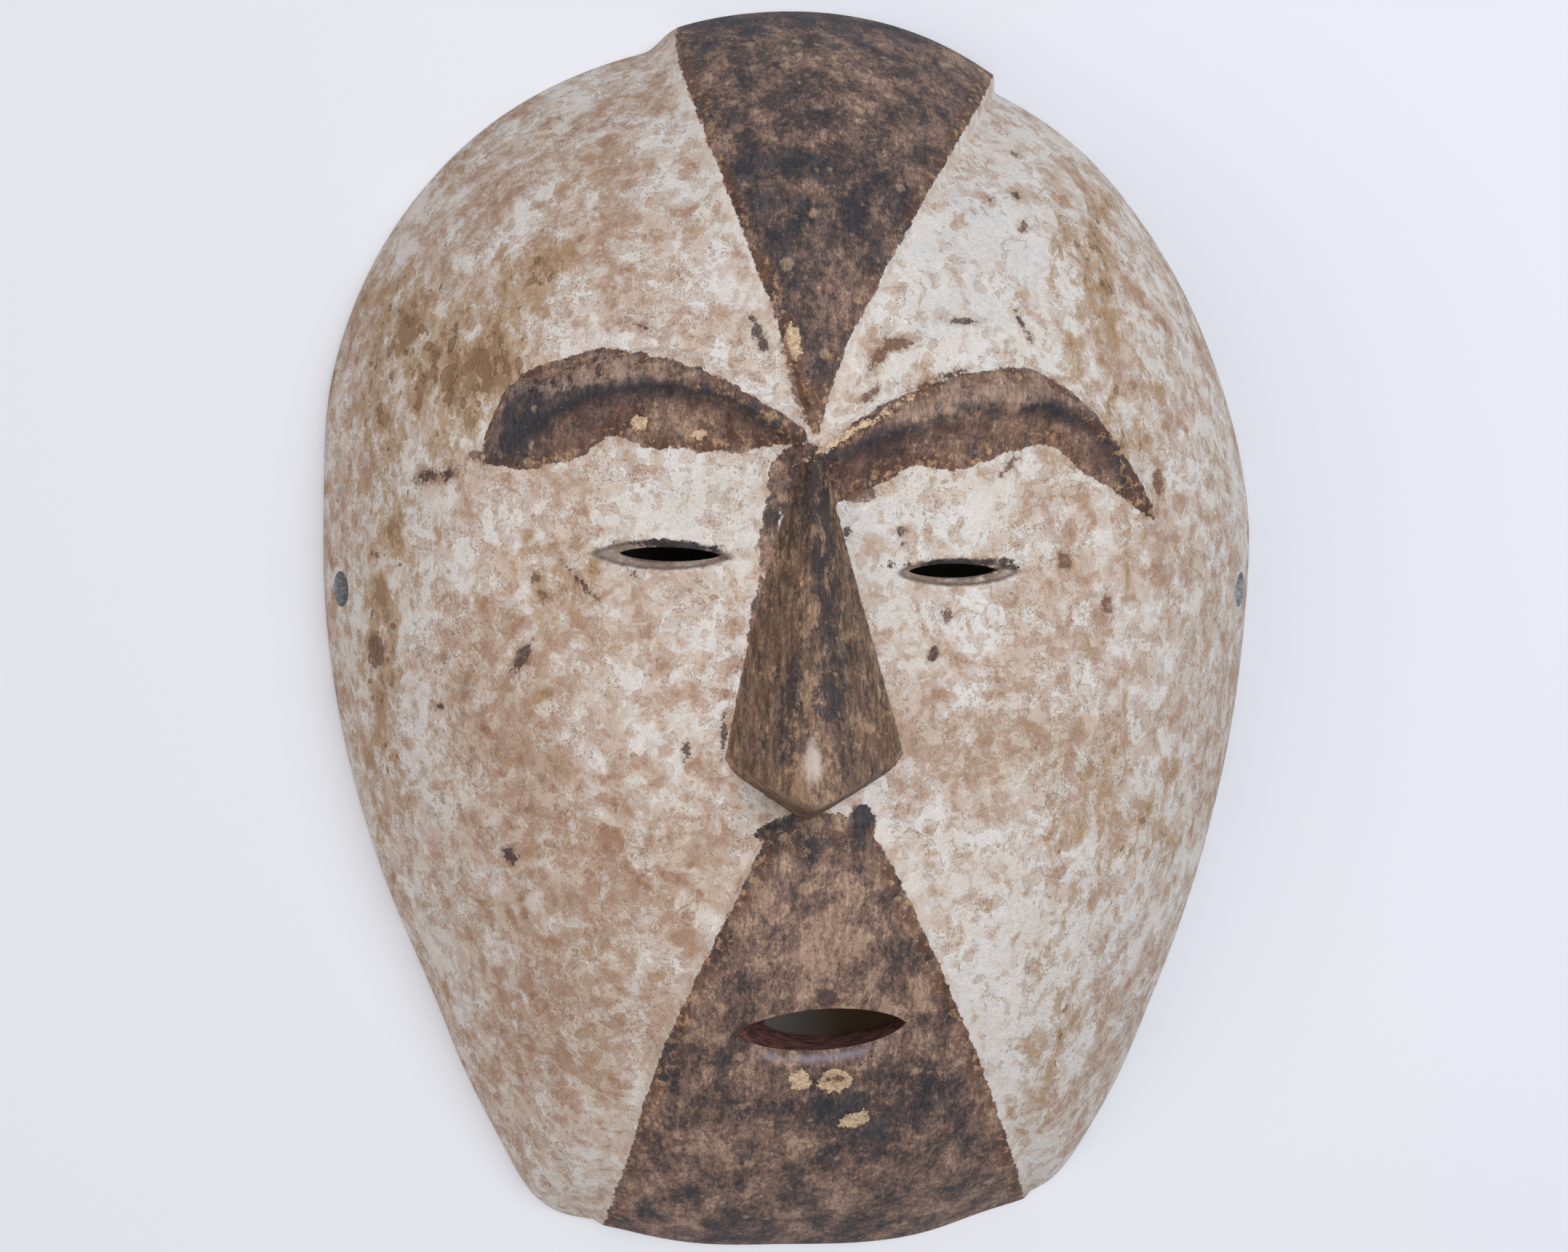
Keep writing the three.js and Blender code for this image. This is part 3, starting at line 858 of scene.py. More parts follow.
    def cut(self, piece: bpy.types.Object) -> None:
        """Cuts the eye slits, the mouth and the cord holes."""
        carving = self.carving
        for eye in carving.eyes:
            surface = float(carving.face(*np.array(eye.middle)[:, None])[0, 2]) + eye.depth
            outline = lens_outline(eye.middle, eye.slit, eye.turn)
            self.subtract(piece, [(outline, surface - self.past_wall), (outline, surface + self.past_lid)])
        mouth = carving.mouth
        surface = float(carving.shell.height(*np.array(mouth.middle)[:, None])[0])
        rings = []
        for below, size, across in (
            (self.past_wall, mouth.inner, mouth.shift), (mouth.depth, mouth.inner, mouth.shift),
            (-mouth.lip, mouth.outer, 0.0), (-self.past_lip, mouth.outer, 0.0),
        ):
            middle = (mouth.middle[0] + across, mouth.middle[1] + below * math.tan(mouth.lean))
            rings.append((lens_outline(middle, size, mouth.turn), surface - below))
        self.subtract(piece, rings)
        for side in (-1, 1):
            self.drill(piece, side)

    def subtract(self, piece: bpy.types.Object, rings: list[tuple[Array, float]]) -> None:
        """Cuts away what lies inside a loft through level rings of equal count."""
        count = len(rings[0][0])
        deselect()
        bpy.ops.mesh.primitive_cylinder_add(vertices=count, radius=1, depth=2, location=(0, 0, 0))
        cutter = bpy.context.object
        if len(rings) > 2:
            heights = corners(cutter)[edge_ends(cutter), 2]
            edit(cutter, "EDGE", heights.prod(axis=1) < 0)
            bpy.ops.mesh.subdivide(number_cuts=len(rings) - 2)
            bpy.ops.object.mode_set(mode="OBJECT")
        points = corners(cutter)
        level = np.round((points[:, 2] + 1) / 2 * (len(rings) - 1)).astype(int)
        angle = np.mod(np.arctan2(points[:, 1], points[:, 0]), 2 * math.pi)
        spot = np.round(angle / (2 * math.pi) * count).astype(int) % count
        for i, (ring, spoke) in enumerate(zip(level, spot)):
            outline, height = rings[ring]
            points[i] = (*(outline[spoke] - self.carving.middle), height)
        place_corners(cutter, points * MM)
        self.take_away(piece, cutter, Skin.CUT)

    def drill(self, piece: bpy.types.Object, side: int) -> None:
        """Drills one cord hole level through a side wall, and wears its outer edge to a funnel."""
        cord = self.carving.cord
        shell = self.carving.shell
        reaches = np.arange(60.0, 130.0, 0.1)
        heights = shell.height(side * reaches, np.full_like(reaches, cord.along))
        reach = float(reaches[heights > cord.height].max())
        radius = cord.diameter / 2
        middle_x, middle_y = self.carving.middle
        for widths, depth, out in (
            ((radius, radius + 2 * cord.funnel), 4 * cord.funnel_depth, cord.funnel_depth),
            ((radius, radius), self.past_wall, 0.0),
        ):
            place = (side * (reach + out) - middle_x, cord.along - middle_y, cord.height)
            deselect()
            bpy.ops.mesh.primitive_cone_add(
                vertices=self.bore_sides, radius1=widths[0] * MM, radius2=widths[1] * MM, depth=depth * MM,
                location=[part * MM for part in place],
                rotation=(0, side * math.pi / 2, 0),
            )
            cutter = bpy.context.object
            bpy.ops.object.transform_apply(location=True, rotation=True, scale=True)
            self.take_away(piece, cutter, Skin.BORE)

    def take_away(self, piece: bpy.types.Object, cutter: bpy.types.Object, skin: Skin) -> None:
        """Cuts the cutter out of the piece, and gives the cut faces their own finish."""
        only(cutter)
        bpy.ops.object.mode_set(mode="EDIT")
        turn_faces_out()
        bpy.ops.object.mode_set(mode="OBJECT")
        for _ in Skin:
            cutter.data.materials.append(None)
        for face in cutter.data.polygons:
            face.material_index = skin.value
        only(piece)
        bpy.ops.object.modifier_add(type="BOOLEAN")
        cutting = piece.modifiers[-1]
        cutting.operation = "DIFFERENCE"
        cutting.solver = "EXACT"
        cutting.material_mode = "INDEX"
        cutting.object = cutter
        bpy.ops.object.modifier_apply(modifier=cutting.name)
        bpy.data.objects.remove(cutter, do_unlink=True)

    def finish(self, piece: bpy.types.Object) -> None:
        """Cleans the mesh and smooths its shading."""
        only(piece)
        bpy.ops.object.mode_set(mode="EDIT")
        bpy.ops.mesh.select_all(action="SELECT")
        bpy.ops.mesh.remove_doubles(threshold=self.weld * MM)
        bpy.ops.mesh.quads_convert_to_tris(quad_method="BEAUTY", ngon_method="BEAUTY")
        bpy.ops.object.mode_set(mode="OBJECT")
        bpy.ops.object.shade_smooth_by_angle(angle=math.radians(50))
        only(piece)


# Paint map


class Tone(Enum):
    """Colour of a chip, flake or spot; the value is the mesh attribute that holds its depth."""

    DARK = "dark_marks"
    BROWN = "brown_marks"
    CREAM = "cream_marks"
    STAIN = "stain_marks"


def oval_place(place: Pair, half: Pair, turn: float, x: Array, y: Array) -> tuple[Array, Array]:
    """Where points lie in a turned oval, as shares of its half sizes.

    Args:
        place: the oval's middle.
        half: its half sizes, along and across its turn.
        turn: its angle, in degrees.
        x, y: points of the plan.

    Returns:
        How far along and how far across the oval each point lies.
    """
    angle = math.radians(turn)
    dx, dy = x - place[0], y - place[1]
    along = (dx * math.cos(angle) + dy * math.sin(angle)) / half[0]
    across = (dy * math.cos(angle) - dx * math.sin(angle)) / half[1]
    return along, across


@dataclass(frozen=True)
class Mark:
    """A chip, flake or spot: an oval on the face, with half sizes along and across its turn."""

    tone: Tone
    place: Pair
    half: Pair
    turn: float = 0.0

    def depth(self, x: Array, y: Array) -> Array:
        """How far inside the mark's edge each point of the plan lies, in millimetres."""
        along, across = oval_place(self.place, self.half, self.turn, x, y)
        return (1.0 - np.hypot(along, across)) * min(self.half)


@dataclass(frozen=True)
class Cloud:
    """A soft zone where a stain gathers."""

    place: Pair
    half: Pair
    strength: float = 1.0
    turn: float = 0.0

    def amount(self, x: Array, y: Array) -> Array:
        """How strong the stain is at each point of the plan."""
        along, across = oval_place(self.place, self.half, self.turn, x, y)
        return self.strength * np.exp(-(along**2) - across**2)


@dataclass(frozen=True)
class PaintMap:
    """Where the face is stained, smoked, worn and chipped, and where light and shade are painted on it."""

    wedge_start: float = 43.5
    chin_start: float = -46.5
    chin_ragged: tuple[Triple, ...] = ((2.4, 9.0, 2.2), (1.6, 3.4, 6.1))
    flake_depth: float = 0.28
    flake_edge: float = 0.45
    layer_limit: float = 60.0
    wash: tuple[Cloud, ...] = (
        Cloud((-72, -2), (30, 34), 0.9),
        Cloud((-62, -52), (34, 26), 1.0),
        Cloud((-34, -58), (14, 14), 0.8),
        Cloud((-58, -100), (20, 26), 0.75),
        Cloud((-66, 84), (30, 30), 0.7),
        Cloud((-40, 96), (18, 22), 0.45),
        Cloud((52, -22), (36, 26), 0.4),
        Cloud((58, -56), (26, 18), 0.4),
        Cloud((70, 60), (20, 46), 0.5),
        Cloud((60, -112), (14, 22), 0.45),
        Cloud((28, -22), (10, 22), 0.1),
        Cloud((36, 88), (26, 30), -0.75),
        Cloud((-27, 27), (22, 11), -1.1),
        Cloud((24, 27), (22, 10), -1.0),
        Cloud((42, -78), (16, 16), -0.7),
        Cloud((56, -100), (14, 30), -0.5),
        Cloud((-92, 0), (12, 60), -1.1),
        Cloud((-70, 66), (24, 22), -0.5),
        Cloud((60, -70), (30, 30), -0.4),
        Cloud((-22, 90), (9, 34), -0.4),
    )
    ochre: tuple[Cloud, ...] = (
        Cloud((-88, 66), (20, 26), 0.9, 20),
        Cloud((-62, 84), (9, 12), 0.9),
        Cloud((-74, 58), (13, 10), 0.8),
        Cloud((-99, 18), (7, 34), 0.75),
        Cloud((-99, -20), (6, 28), 0.55),
        Cloud((-50, 42), (12, 5), 0.4),
        Cloud((68, 86), (10, 26), 0.85, -12),
        Cloud((73, 46), (10, 18), 0.6),
        Cloud((72, -46), (18, 18), 0.6),
        Cloud((58, -100), (6, 20), 0.6),
        Cloud((60, 18), (10, 14), 0.35),
        Cloud((-56, 14), (10, 18), 0.35),
    )
    cool: tuple[Cloud, ...] = (
        Cloud((30, 74), (20, 24), 1.0),
        Cloud((40, 96), (16, 16), 0.7),
        Cloud((16, 54), (12, 5), 0.5, 35),
        Cloud((-22, 28), (17, 9), 0.9),
        Cloud((22, 24), (14, 7), 0.5),
        Cloud((104, 8), (10, 60), 0.6),
    )
    # pale: where the nose's tip is worn pale and carries a painted highlight, trailing upwards.
    pale: tuple[Cloud, ...] = (
        Cloud((-3.4, -30), (2.4, 4.4), 1.0),
        Cloud((-3.6, -25), (1.6, 4.0), 0.4),
    )
    soot: tuple[Cloud, ...] = (
        Cloud((-0.8, 31), (3.4, 14), 1.9),
        Cloud((0.6, 14), (2.8, 11), 1.4),
        Cloud((1.4, -2), (2.6, 9), 1.0),
        Cloud((1.6, -15), (4.2, 8), 1.5),
        Cloud((-8.0, -14), (3.6, 9), 1.2),
        Cloud((-10.5, -26), (3.4, 5), 0.5),
        Cloud((5.2, -28), (3.0, 5), 0.8),
        Cloud((-17.0, -26), (2.6, 3.4), 0.5),
        Cloud((-7.0, -34), (2.0, 3.0), 0.4),
    )
    bared: tuple[Cloud, ...] = (
        Cloud((-3.4, 4), (1.5, 12), 0.7),
        Cloud((-3.8, -12), (1.6, 8), 0.7),
        Cloud((-4.4, -22), (2.4, 5), 0.8),
        Cloud((-3.6, -33), (6.0, 5.5), 1.1),
        Cloud((-2.8, -37), (9.0, 3.2), 0.6),
        Cloud((10.0, -18), (5.0, 12), 0.4),
    )
    smoked: tuple[Cloud, ...] = (
        Cloud((8, 96), (26, 22), 0.55),
        Cloud((0, 62), (7, 12), 0.3),
        Cloud((-14, 104), (8, 16), 0.5),
        Cloud((12, -113), (13, 10), 0.8),
        Cloud((-12, -104), (12, 6), 0.4),
        Cloud((-18, -84), (9, 8), 0.4),
        Cloud((-9.5, -45.4), (5, 3.2), 1.3),
        Cloud((9.8, -44.4), (4, 5.4), 1.3),
        Cloud((0, -47), (6, 2.2), 1.0),
        Cloud((-66, 47), (11, 10), 1.15),
        Cloud((-2.5, 37), (4, 5), 0.8),
        # The next two blacken the upper lids over the eye slits: dark stain and painted shade.
        Cloud((-33, 18.6), (13, 2), 1.2),
        Cloud((32, 14.6), (14, 2), 1.2),
        Cloud((-4, 146), (40, 10), 0.8),
    )
    worn: tuple[Cloud, ...] = (
        Cloud((6, 128), (30, 10), 0.35),
        Cloud((4, -80), (26, 26), 0.7),
        Cloud((22, 108), (5, 22), 0.6, 25),
        Cloud((2, 84), (5, 14), 0.5),
        Cloud((0, -62), (12, 18), 0.9),
        Cloud((44, 54), (26, 6), 1.2),
        Cloud((-28, -124), (18, 16), 0.6),
        Cloud((8, -132), (14, 8), 0.7),
        Cloud((44, -128), (16, 16), 0.6),
        Cloud((46, 44), (22, 5), 0.7),
        Cloud((0, -43.6), (7, 2.6), 1.5),
        Cloud((-12, 12), (5, 22), 0.9),
        Cloud((-8, 34), (4, 7), 0.7),
    )
    marks: tuple[Mark, ...] = (
        Mark(Tone.DARK, (-13.4, 65.5), (4.2, 1.0), 112),
        Mark(Tone.BROWN, (17.2, 64.0), (3.6, 1.3), 4),
        Mark(Tone.BROWN, (13.2, 61.0), (4.4, 1.2), 62),
        Mark(Tone.BROWN, (11.4, 52.4), (2.6, 1.0), 50),
        Mark(Tone.DARK, (33.4, 69.7), (3.4, 0.8), 0),
        Mark(Tone.DARK, (29.1, 57.0), (3.4, 0.5), 18),
        Mark(Tone.DARK, (-40.2, 68.2), (1.8, 0.5), -20),
        Mark(Tone.DARK, (49.9, 101.9), (1.5, 0.9), -25),
        Mark(Tone.BROWN, (50.0, 94.0), (1.8, 0.9), 70),
        Mark(Tone.BROWN, (42.5, 99.9), (0.9, 0.6), 40),
        Mark(Tone.DARK, (47.4, 69.6), (2.6, 0.6), -58),
        Mark(Tone.DARK, (50.9, 113.3), (1.0, 0.5), -20),
        Mark(Tone.DARK, (-66.3, -6.6), (3.2, 1.2), 62),
        Mark(Tone.BROWN, (-100.6, -5.5), (4.0, 2.2), 90),
        Mark(Tone.DARK, (-88.7, 35.1), (2.4, 1.2), 20),
        Mark(Tone.DARK, (-83.4, 35.8), (1.8, 0.9), 60),
        Mark(Tone.DARK, (-85.3, -18.0), (0.8, 0.8), 0),
        Mark(Tone.BROWN, (-63.2, 11.2), (1.3, 0.9), 0),
        Mark(Tone.BROWN, (-61.7, 7.5), (1.1, 1.3), 0),
        Mark(Tone.DARK, (-52.8, 10.0), (3.2, 0.4), -50),
        Mark(Tone.DARK, (-41.5, 12.4), (1.1, 0.7), 20),
        Mark(Tone.BROWN, (10.2, 30.2), (3.4, 1.5), 8),
        Mark(Tone.DARK, (6.4, 21.3), (0.9, 1.5), 0),
        Mark(Tone.DARK, (19.1, 21.9), (1.3, 1.1), 20),
        Mark(Tone.DARK, (19.4, 18.9), (1.1, 0.9), 0),
        Mark(Tone.BROWN, (57.7, 15.9), (1.4, 1.8), 0),
        Mark(Tone.BROWN, (68.2, 5.4), (1.5, 2.2), 0),
        Mark(Tone.BROWN, (29.3, 2.9), (1.2, 1.6), 0),
        Mark(Tone.STAIN, (-9.4, -45.4), (4.2, 2.4), 12),
        Mark(Tone.STAIN, (-0.6, -44.5), (10.0, 3.4), 0),
        Mark(Tone.STAIN, (9.8, -44.0), (3.0, 4.6), 12),
        Mark(Tone.DARK, (3.0, -83.2), (2.8, 2.3), 0),
        Mark(Tone.STAIN, (-4.0, 33.0), (7.4, 8.5), 0),
        Mark(Tone.STAIN, (-11.0, 21.0), (11.0, 2.0), 84),
        Mark(Tone.STAIN, (-14.0, 4.0), (9.0, 1.4), 79),
        # The next two are the dark lines on the upper lids: dark stain and painted shade.
        Mark(Tone.STAIN, (-33.6, 18.9), (11.4, 0.9), -4),
        Mark(Tone.STAIN, (31.6, 15.0), (11.6, 0.8), 2),
        Mark(Tone.STAIN, (-22.0, 16.4), (2.6, 0.8), -20),
        Mark(Tone.STAIN, (42.6, 13.8), (3.4, 0.5), 8),
        Mark(Tone.BROWN, (-5.2, 53.6), (8.0, 0.8), 106),
        Mark(Tone.DARK, (-21.4, -24.0), (3.6, 0.5), 84),
        Mark(Tone.CREAM, (-2.6, -102.4), (2.5, 2.5), 0),
        Mark(Tone.CREAM, (5.4, -102.9), (3.7, 2.8), 0),
        Mark(Tone.CREAM, (11.2, -112.6), (3.8, 1.9), 18),
        Mark(Tone.CREAM, (8.8, 45.0), (11.0, 0.7), 31),
        Mark(Tone.DARK, (4.3, -102.4), (0.9, 0.8), 0),
        Mark(Tone.DARK, (6.5, -102.8), (0.9, 0.7), 0),
        Mark(Tone.CREAM, (-40.0, 46.2), (1.9, 1.4), 0),
        Mark(Tone.CREAM, (-26.6, 43.5), (1.4, 0.9), 0),
        Mark(Tone.CREAM, (-6.0, 63.6), (1.6, 3.6), 12),
        Mark(Tone.BROWN, (-77.0, 39.6), (1.8, 1.2), 0),
        Mark(Tone.BROWN, (-82.8, 35.4), (2.2, 1.2), 20),
        Mark(Tone.BROWN, (82.0, 34.2), (1.4, 3.2), 0),
        Mark(Tone.BROWN, (44.3, 37.0), (2.2, 0.6), 40),
        Mark(Tone.DARK, (-69.0, -52.0), (1.4, 2.2), 30),
        Mark(Tone.DARK, (26.0, -6.0), (0.8, 1.8), -20),
        Mark(Tone.DARK, (-29.5, -27.0), (0.6, 1.7), 0),
    )

    def flaked(self, x: Array, y: Array) -> Array:
        """How deep the coat has flaked off at each point of the plan."""
        depths = [mark.depth(x, y) for mark in self.marks if mark.tone in (Tone.DARK, Tone.BROWN)]
        return self.flake_depth * ramp(np.max(depths, axis=0), 0.0, self.flake_edge)

    def spots(self) -> Array:
        """Points on and around every mark, where the mesh has to be fine."""
        rings = []
        for mark in self.marks:
            angle = np.linspace(0, 2 * math.pi, 9)[:-1]
            along, across = mark.half[0] * np.cos(angle), mark.half[1] * np.sin(angle)
            turn = math.radians(mark.turn)
            x = mark.place[0] + along * math.cos(turn) - across * math.sin(turn)
            y = mark.place[1] + along * math.sin(turn) + across * math.cos(turn)
            rings += [np.stack([x, y], axis=1), np.array([mark.place])]
        return np.concatenate(rings)

    def write(self, piece: bpy.types.Object, carving: Carving) -> None:
        """Stores on the mesh all that the painted finish reads, worked out from each point's place."""
        points = corners(piece) / MM + (*carving.middle, 0.0)
        x, y = carving.plain_place(points)
        gaps = [brow.crest.nearest(x, y)[0] for brow in carving.brows]
        above = np.minimum(*gaps) * np.where(y > carving.hollow.crest.at(x), 1.0, -1.0)
        wedge = np.minimum(carving.wedge.edge_distance(x, y), y - self.wedge_start)
        plan = np.stack([x, y], axis=1)
        ragged = sum(high * rough(plan, size, seed) for high, size, seed in self.chin_ragged)
        start = self.chin_start + ragged
        chin = np.minimum(carving.chin.edge_distance(x, y), start - y)
        eyes = [0.5 * eye.funnel[1] * (1.0 - eye.share(x, y)) for eye in carving.eyes]
        t, _ = carving.nose.place(x, y)
        layers = {
            "field": np.maximum(wedge, chin),
            "eye": np.maximum(*eyes),
            "brow": np.maximum(*(brow.paint_distance(x, y) for brow in carving.brows)),
            "nose": carving.nose.paint_distance(x, y),
            "front": (t - 1.0) * (carving.nose.root[1] - carving.nose.tip[1]),
            "crest": above,
            # lip: distance from the mouth's edge under the lower lip, where the painted highlight goes.
            "lip": carving.mouth.below(x, y),
        }
        for name in ("wash", "ochre", "cool", "smoked", "worn", "soot", "bared", "pale"):
            layers[name] = sum(cloud.amount(x, y) for cloud in getattr(self, name))
        for tone in Tone:
            depths = [mark.depth(x, y) for mark in self.marks if mark.tone is tone]
            layers[tone.value] = np.maximum(np.max(depths, axis=0), -9.0)
        for name, values in layers.items():
            layer = piece.data.attributes.new(name, "FLOAT", "POINT")
            held = np.clip(values, -self.layer_limit, self.layer_limit)
            layer.data.foreach_set("value", held.astype(np.float32))


# Finishes


def linear(colour: Colour) -> tuple[float, float, float, float]:
    """A screen colour as the linear one that sockets hold."""
    parts = [c / 255 for c in colour]
    parts = [c / 12.92 if c <= 0.04045 else ((c + 0.055) / 1.055) ** 2.4 for c in parts]
    return (*parts, 1.0)


class Recipe:
    """The nodes of one finish, added in short steps. All lengths are in millimetres."""

    def __init__(self, name: str) -> None:
        """Starts a material with only its shader."""
        self.material = bpy.data.materials.new(name)
        self.material.use_nodes = True
        self.tree = self.material.node_tree
        self.shader = self.tree.nodes["Principled BSDF"]
        place = self.tree.nodes.new("ShaderNodeTexCoord").outputs["Object"]
        self.place = self.vector("MULTIPLY", place, (1 / MM,) * 3)

    def node(self, kind: str, inputs: dict, **settings: object) -> bpy.types.Node:
        """Adds a node, with a value or a link for each input given."""
        made = self.tree.nodes.new(kind)
        for name, setting in settings.items():
            setattr(made, name, setting)
        for socket, value in inputs.items():
            if isinstance(value, Socket):
                self.tree.links.new(value, made.inputs[socket])
            else:
                made.inputs[socket].default_value = value
        return made

    def vector(self, operation: str, a: Socket, b: tuple | Socket, c: tuple = (0, 0, 0)) -> Socket:
        """Vector arithmetic."""
        return self.node("ShaderNodeVectorMath", {0: a, 1: b, 2: c}, operation=operation).outputs[0]

    def sum(self, *terms: tuple[float | Socket, float]) -> Socket:
        """Adds up terms, each a value and how much it counts."""
        total: float | Socket = 0.0
        for value, share in terms:
            inputs = {0: value, 1: share, 2: total}
            total = self.node("ShaderNodeMath", inputs, operation="MULTIPLY_ADD").outputs[0]
        return total

    def both(self, operation: str, a: float | Socket, b: float | Socket) -> Socket:
        """Plain arithmetic between two values."""
        return self.node("ShaderNodeMath", {0: a, 1: b}, operation=operation).outputs[0]

    def times(self, a: float | Socket, b: float | Socket) -> Socket:
        """The product of two values."""
        return self.both("MULTIPLY", a, b)

    def larger(self, a: float | Socket, b: float | Socket) -> Socket:
        """The larger of two values."""
        return self.both("MAXIMUM", a, b)

    def read(self, name: str) -> Socket:
        """A layer of the mesh."""
        return self.node("ShaderNodeAttribute", {}, attribute_name=name).outputs["Fac"]

    def spot(self, size: float, stretch: Triple, seed: float, at: Socket | None) -> Socket:
        """Places counted in units of `size`, drawn out by `stretch`, from a corner of their own."""
        scale = tuple(1 / (size * part) for part in stretch)
        return self.vector("MULTIPLY_ADD", at or self.place, scale, (seed, seed * 1.7, seed * 0.6))

    def noise(
        self, size: float, detail: float = 3.0, rough: float = 0.55, stretch: Triple = EVEN,
        warp: float = 0.0, seed: float = 0.0, at: Socket | None = None,
    ) -> Socket:
        """Noise around 0.5, with swellings about `size` apart."""
        spot = self.spot(size, stretch, seed, at)
        inputs = {"Vector": spot, "Scale": 1.0, "Detail": detail, "Roughness": rough, "Distortion": warp}
        return self.node("ShaderNodeTexNoise", inputs).outputs[0]

    def stir(self, place: Socket, size: float, amount: float, seed: float) -> Socket:
        """Places pushed about by up to about `amount`, so that what is drawn there has lobed edges."""
        spot = self.spot(size, EVEN, seed, place)
        inputs = {"Vector": spot, "Scale": 1.0, "Detail": 2.0, "Roughness": 0.6}
        push = self.node("ShaderNodeTexNoise", inputs).outputs["Color"]
        push = self.vector("MULTIPLY_ADD", push, (2 * amount,) * 3, (-amount,) * 3)
        return self.vector("ADD", place, push)

    def rounds(self, at: Socket, size: float, share: float | Socket, seed: float) -> Socket:
        """Scattered rounds of uneven size: how far inside the nearest one each place lies.

        Args:
            at: the places, usually stirred.
            size: how far apart the rounds are.
            share: how large they are on average, against how far apart.
            seed: picks the pattern.

        Returns:
            The distance inside the round's edge, negative outside.
        """
        inputs = {"Vector": self.spot(size, EVEN, seed, at), "Scale": 1.0, "Randomness": 1.0}
        found = self.node("ShaderNodeTexVoronoi", inputs)
        own, off = found.outputs["Color"], found.outputs["Distance"]
        return self.sum((own, size), (off, -size), (share, size), (1.0, -0.5 * size))

    def step(self, value: Socket, low: float, high: float) -> Socket:
        """Smooth step from 0 at low to 1 at high, where low may be the larger."""
        ends = (0.0, 1.0) if low < high else (1.0, 0.0)
        inputs = {0: value, 1: min(low, high), 2: max(low, high), 3: ends[0], 4: ends[1]}
        return self.node("ShaderNodeMapRange", inputs, interpolation_type="SMOOTHSTEP").outputs[0]

    def band(self, value: Socket, middle: float, half: float) -> Socket:
        """1 where the value is at the middle, down to 0 at half a band's width off it."""
        off = self.both("ABSOLUTE", self.sum((value, 1.0), (1.0, -middle)), 0.0)
        return self.step(off, half, 0.0)

    def mix(
        self, share: float | Socket, under: Colour | Socket, over: Colour | Socket, most: float = 1.0,
    ) -> Socket:
        """Lays one colour over another, as far as a share of at most `most` says."""
        return self.lay("MIX", share, under, over, most)

    def glaze(self, share: float | Socket, under: Socket, tint: Colour, most: float = 1.0) -> Socket:
        """Tints a colour as a thin see-through coat does."""
        return self.lay("MULTIPLY", share, under, tint, most)

    def lay(
        self, way: str, share: float | Socket, under: Colour | Socket, over: Colour | Socket, most: float,
    ) -> Socket:
        """Mixes two colours in one of the ways that a mix node knows."""
        pair = [linear(c) if isinstance(c, tuple) else c for c in (under, over)]
        held = self.times(share, most) if most < 1.0 else share
        made = self.node("ShaderNodeMix", {0: held, 6: pair[0], 7: pair[1]}, data_type="RGBA", blend_type=way)
        return made.outputs[2]

    def shade(self, colour: Colour | Socket, value: Socket, low: float, high: float) -> Socket:
        """Darkens and lightens a colour by noise around 0.5, from `low` to `high` times."""
        inputs = {0: value, 1: 0.3, 2: 0.7, 3: low, 4: high}
        level = self.node("ShaderNodeMapRange", inputs).outputs[0]
        own = linear(colour) if isinstance(colour, tuple) else colour
        return self.node("ShaderNodeHueSaturation", {"Value": level, "Color": own}).outputs[0]

    def relief(self, height: Socket, depth: float) -> Socket:
        """Bump of a height from 0 to 1 that is `depth` deep."""
        inputs = {"Height": height, "Distance": depth * MM, "Strength": 1.0}
        return self.node("ShaderNodeBump", inputs).outputs[0]

    def finish(
        self, colour: Socket, roughness: Socket | float, normal: Socket, gloss: float,
    ) -> bpy.types.Material:
        """Joins everything to the shader and returns the material."""
        self.tree.links.new(colour, self.shader.inputs["Base Color"])
        self.tree.links.new(normal, self.shader.inputs["Normal"])
        if isinstance(roughness, Socket):
            self.tree.links.new(roughness, self.shader.inputs["Roughness"])
        else:
            self.shader.inputs["Roughness"].default_value = roughness
        self.shader.inputs["Specular IOR Level"].default_value = gloss
        return self.material


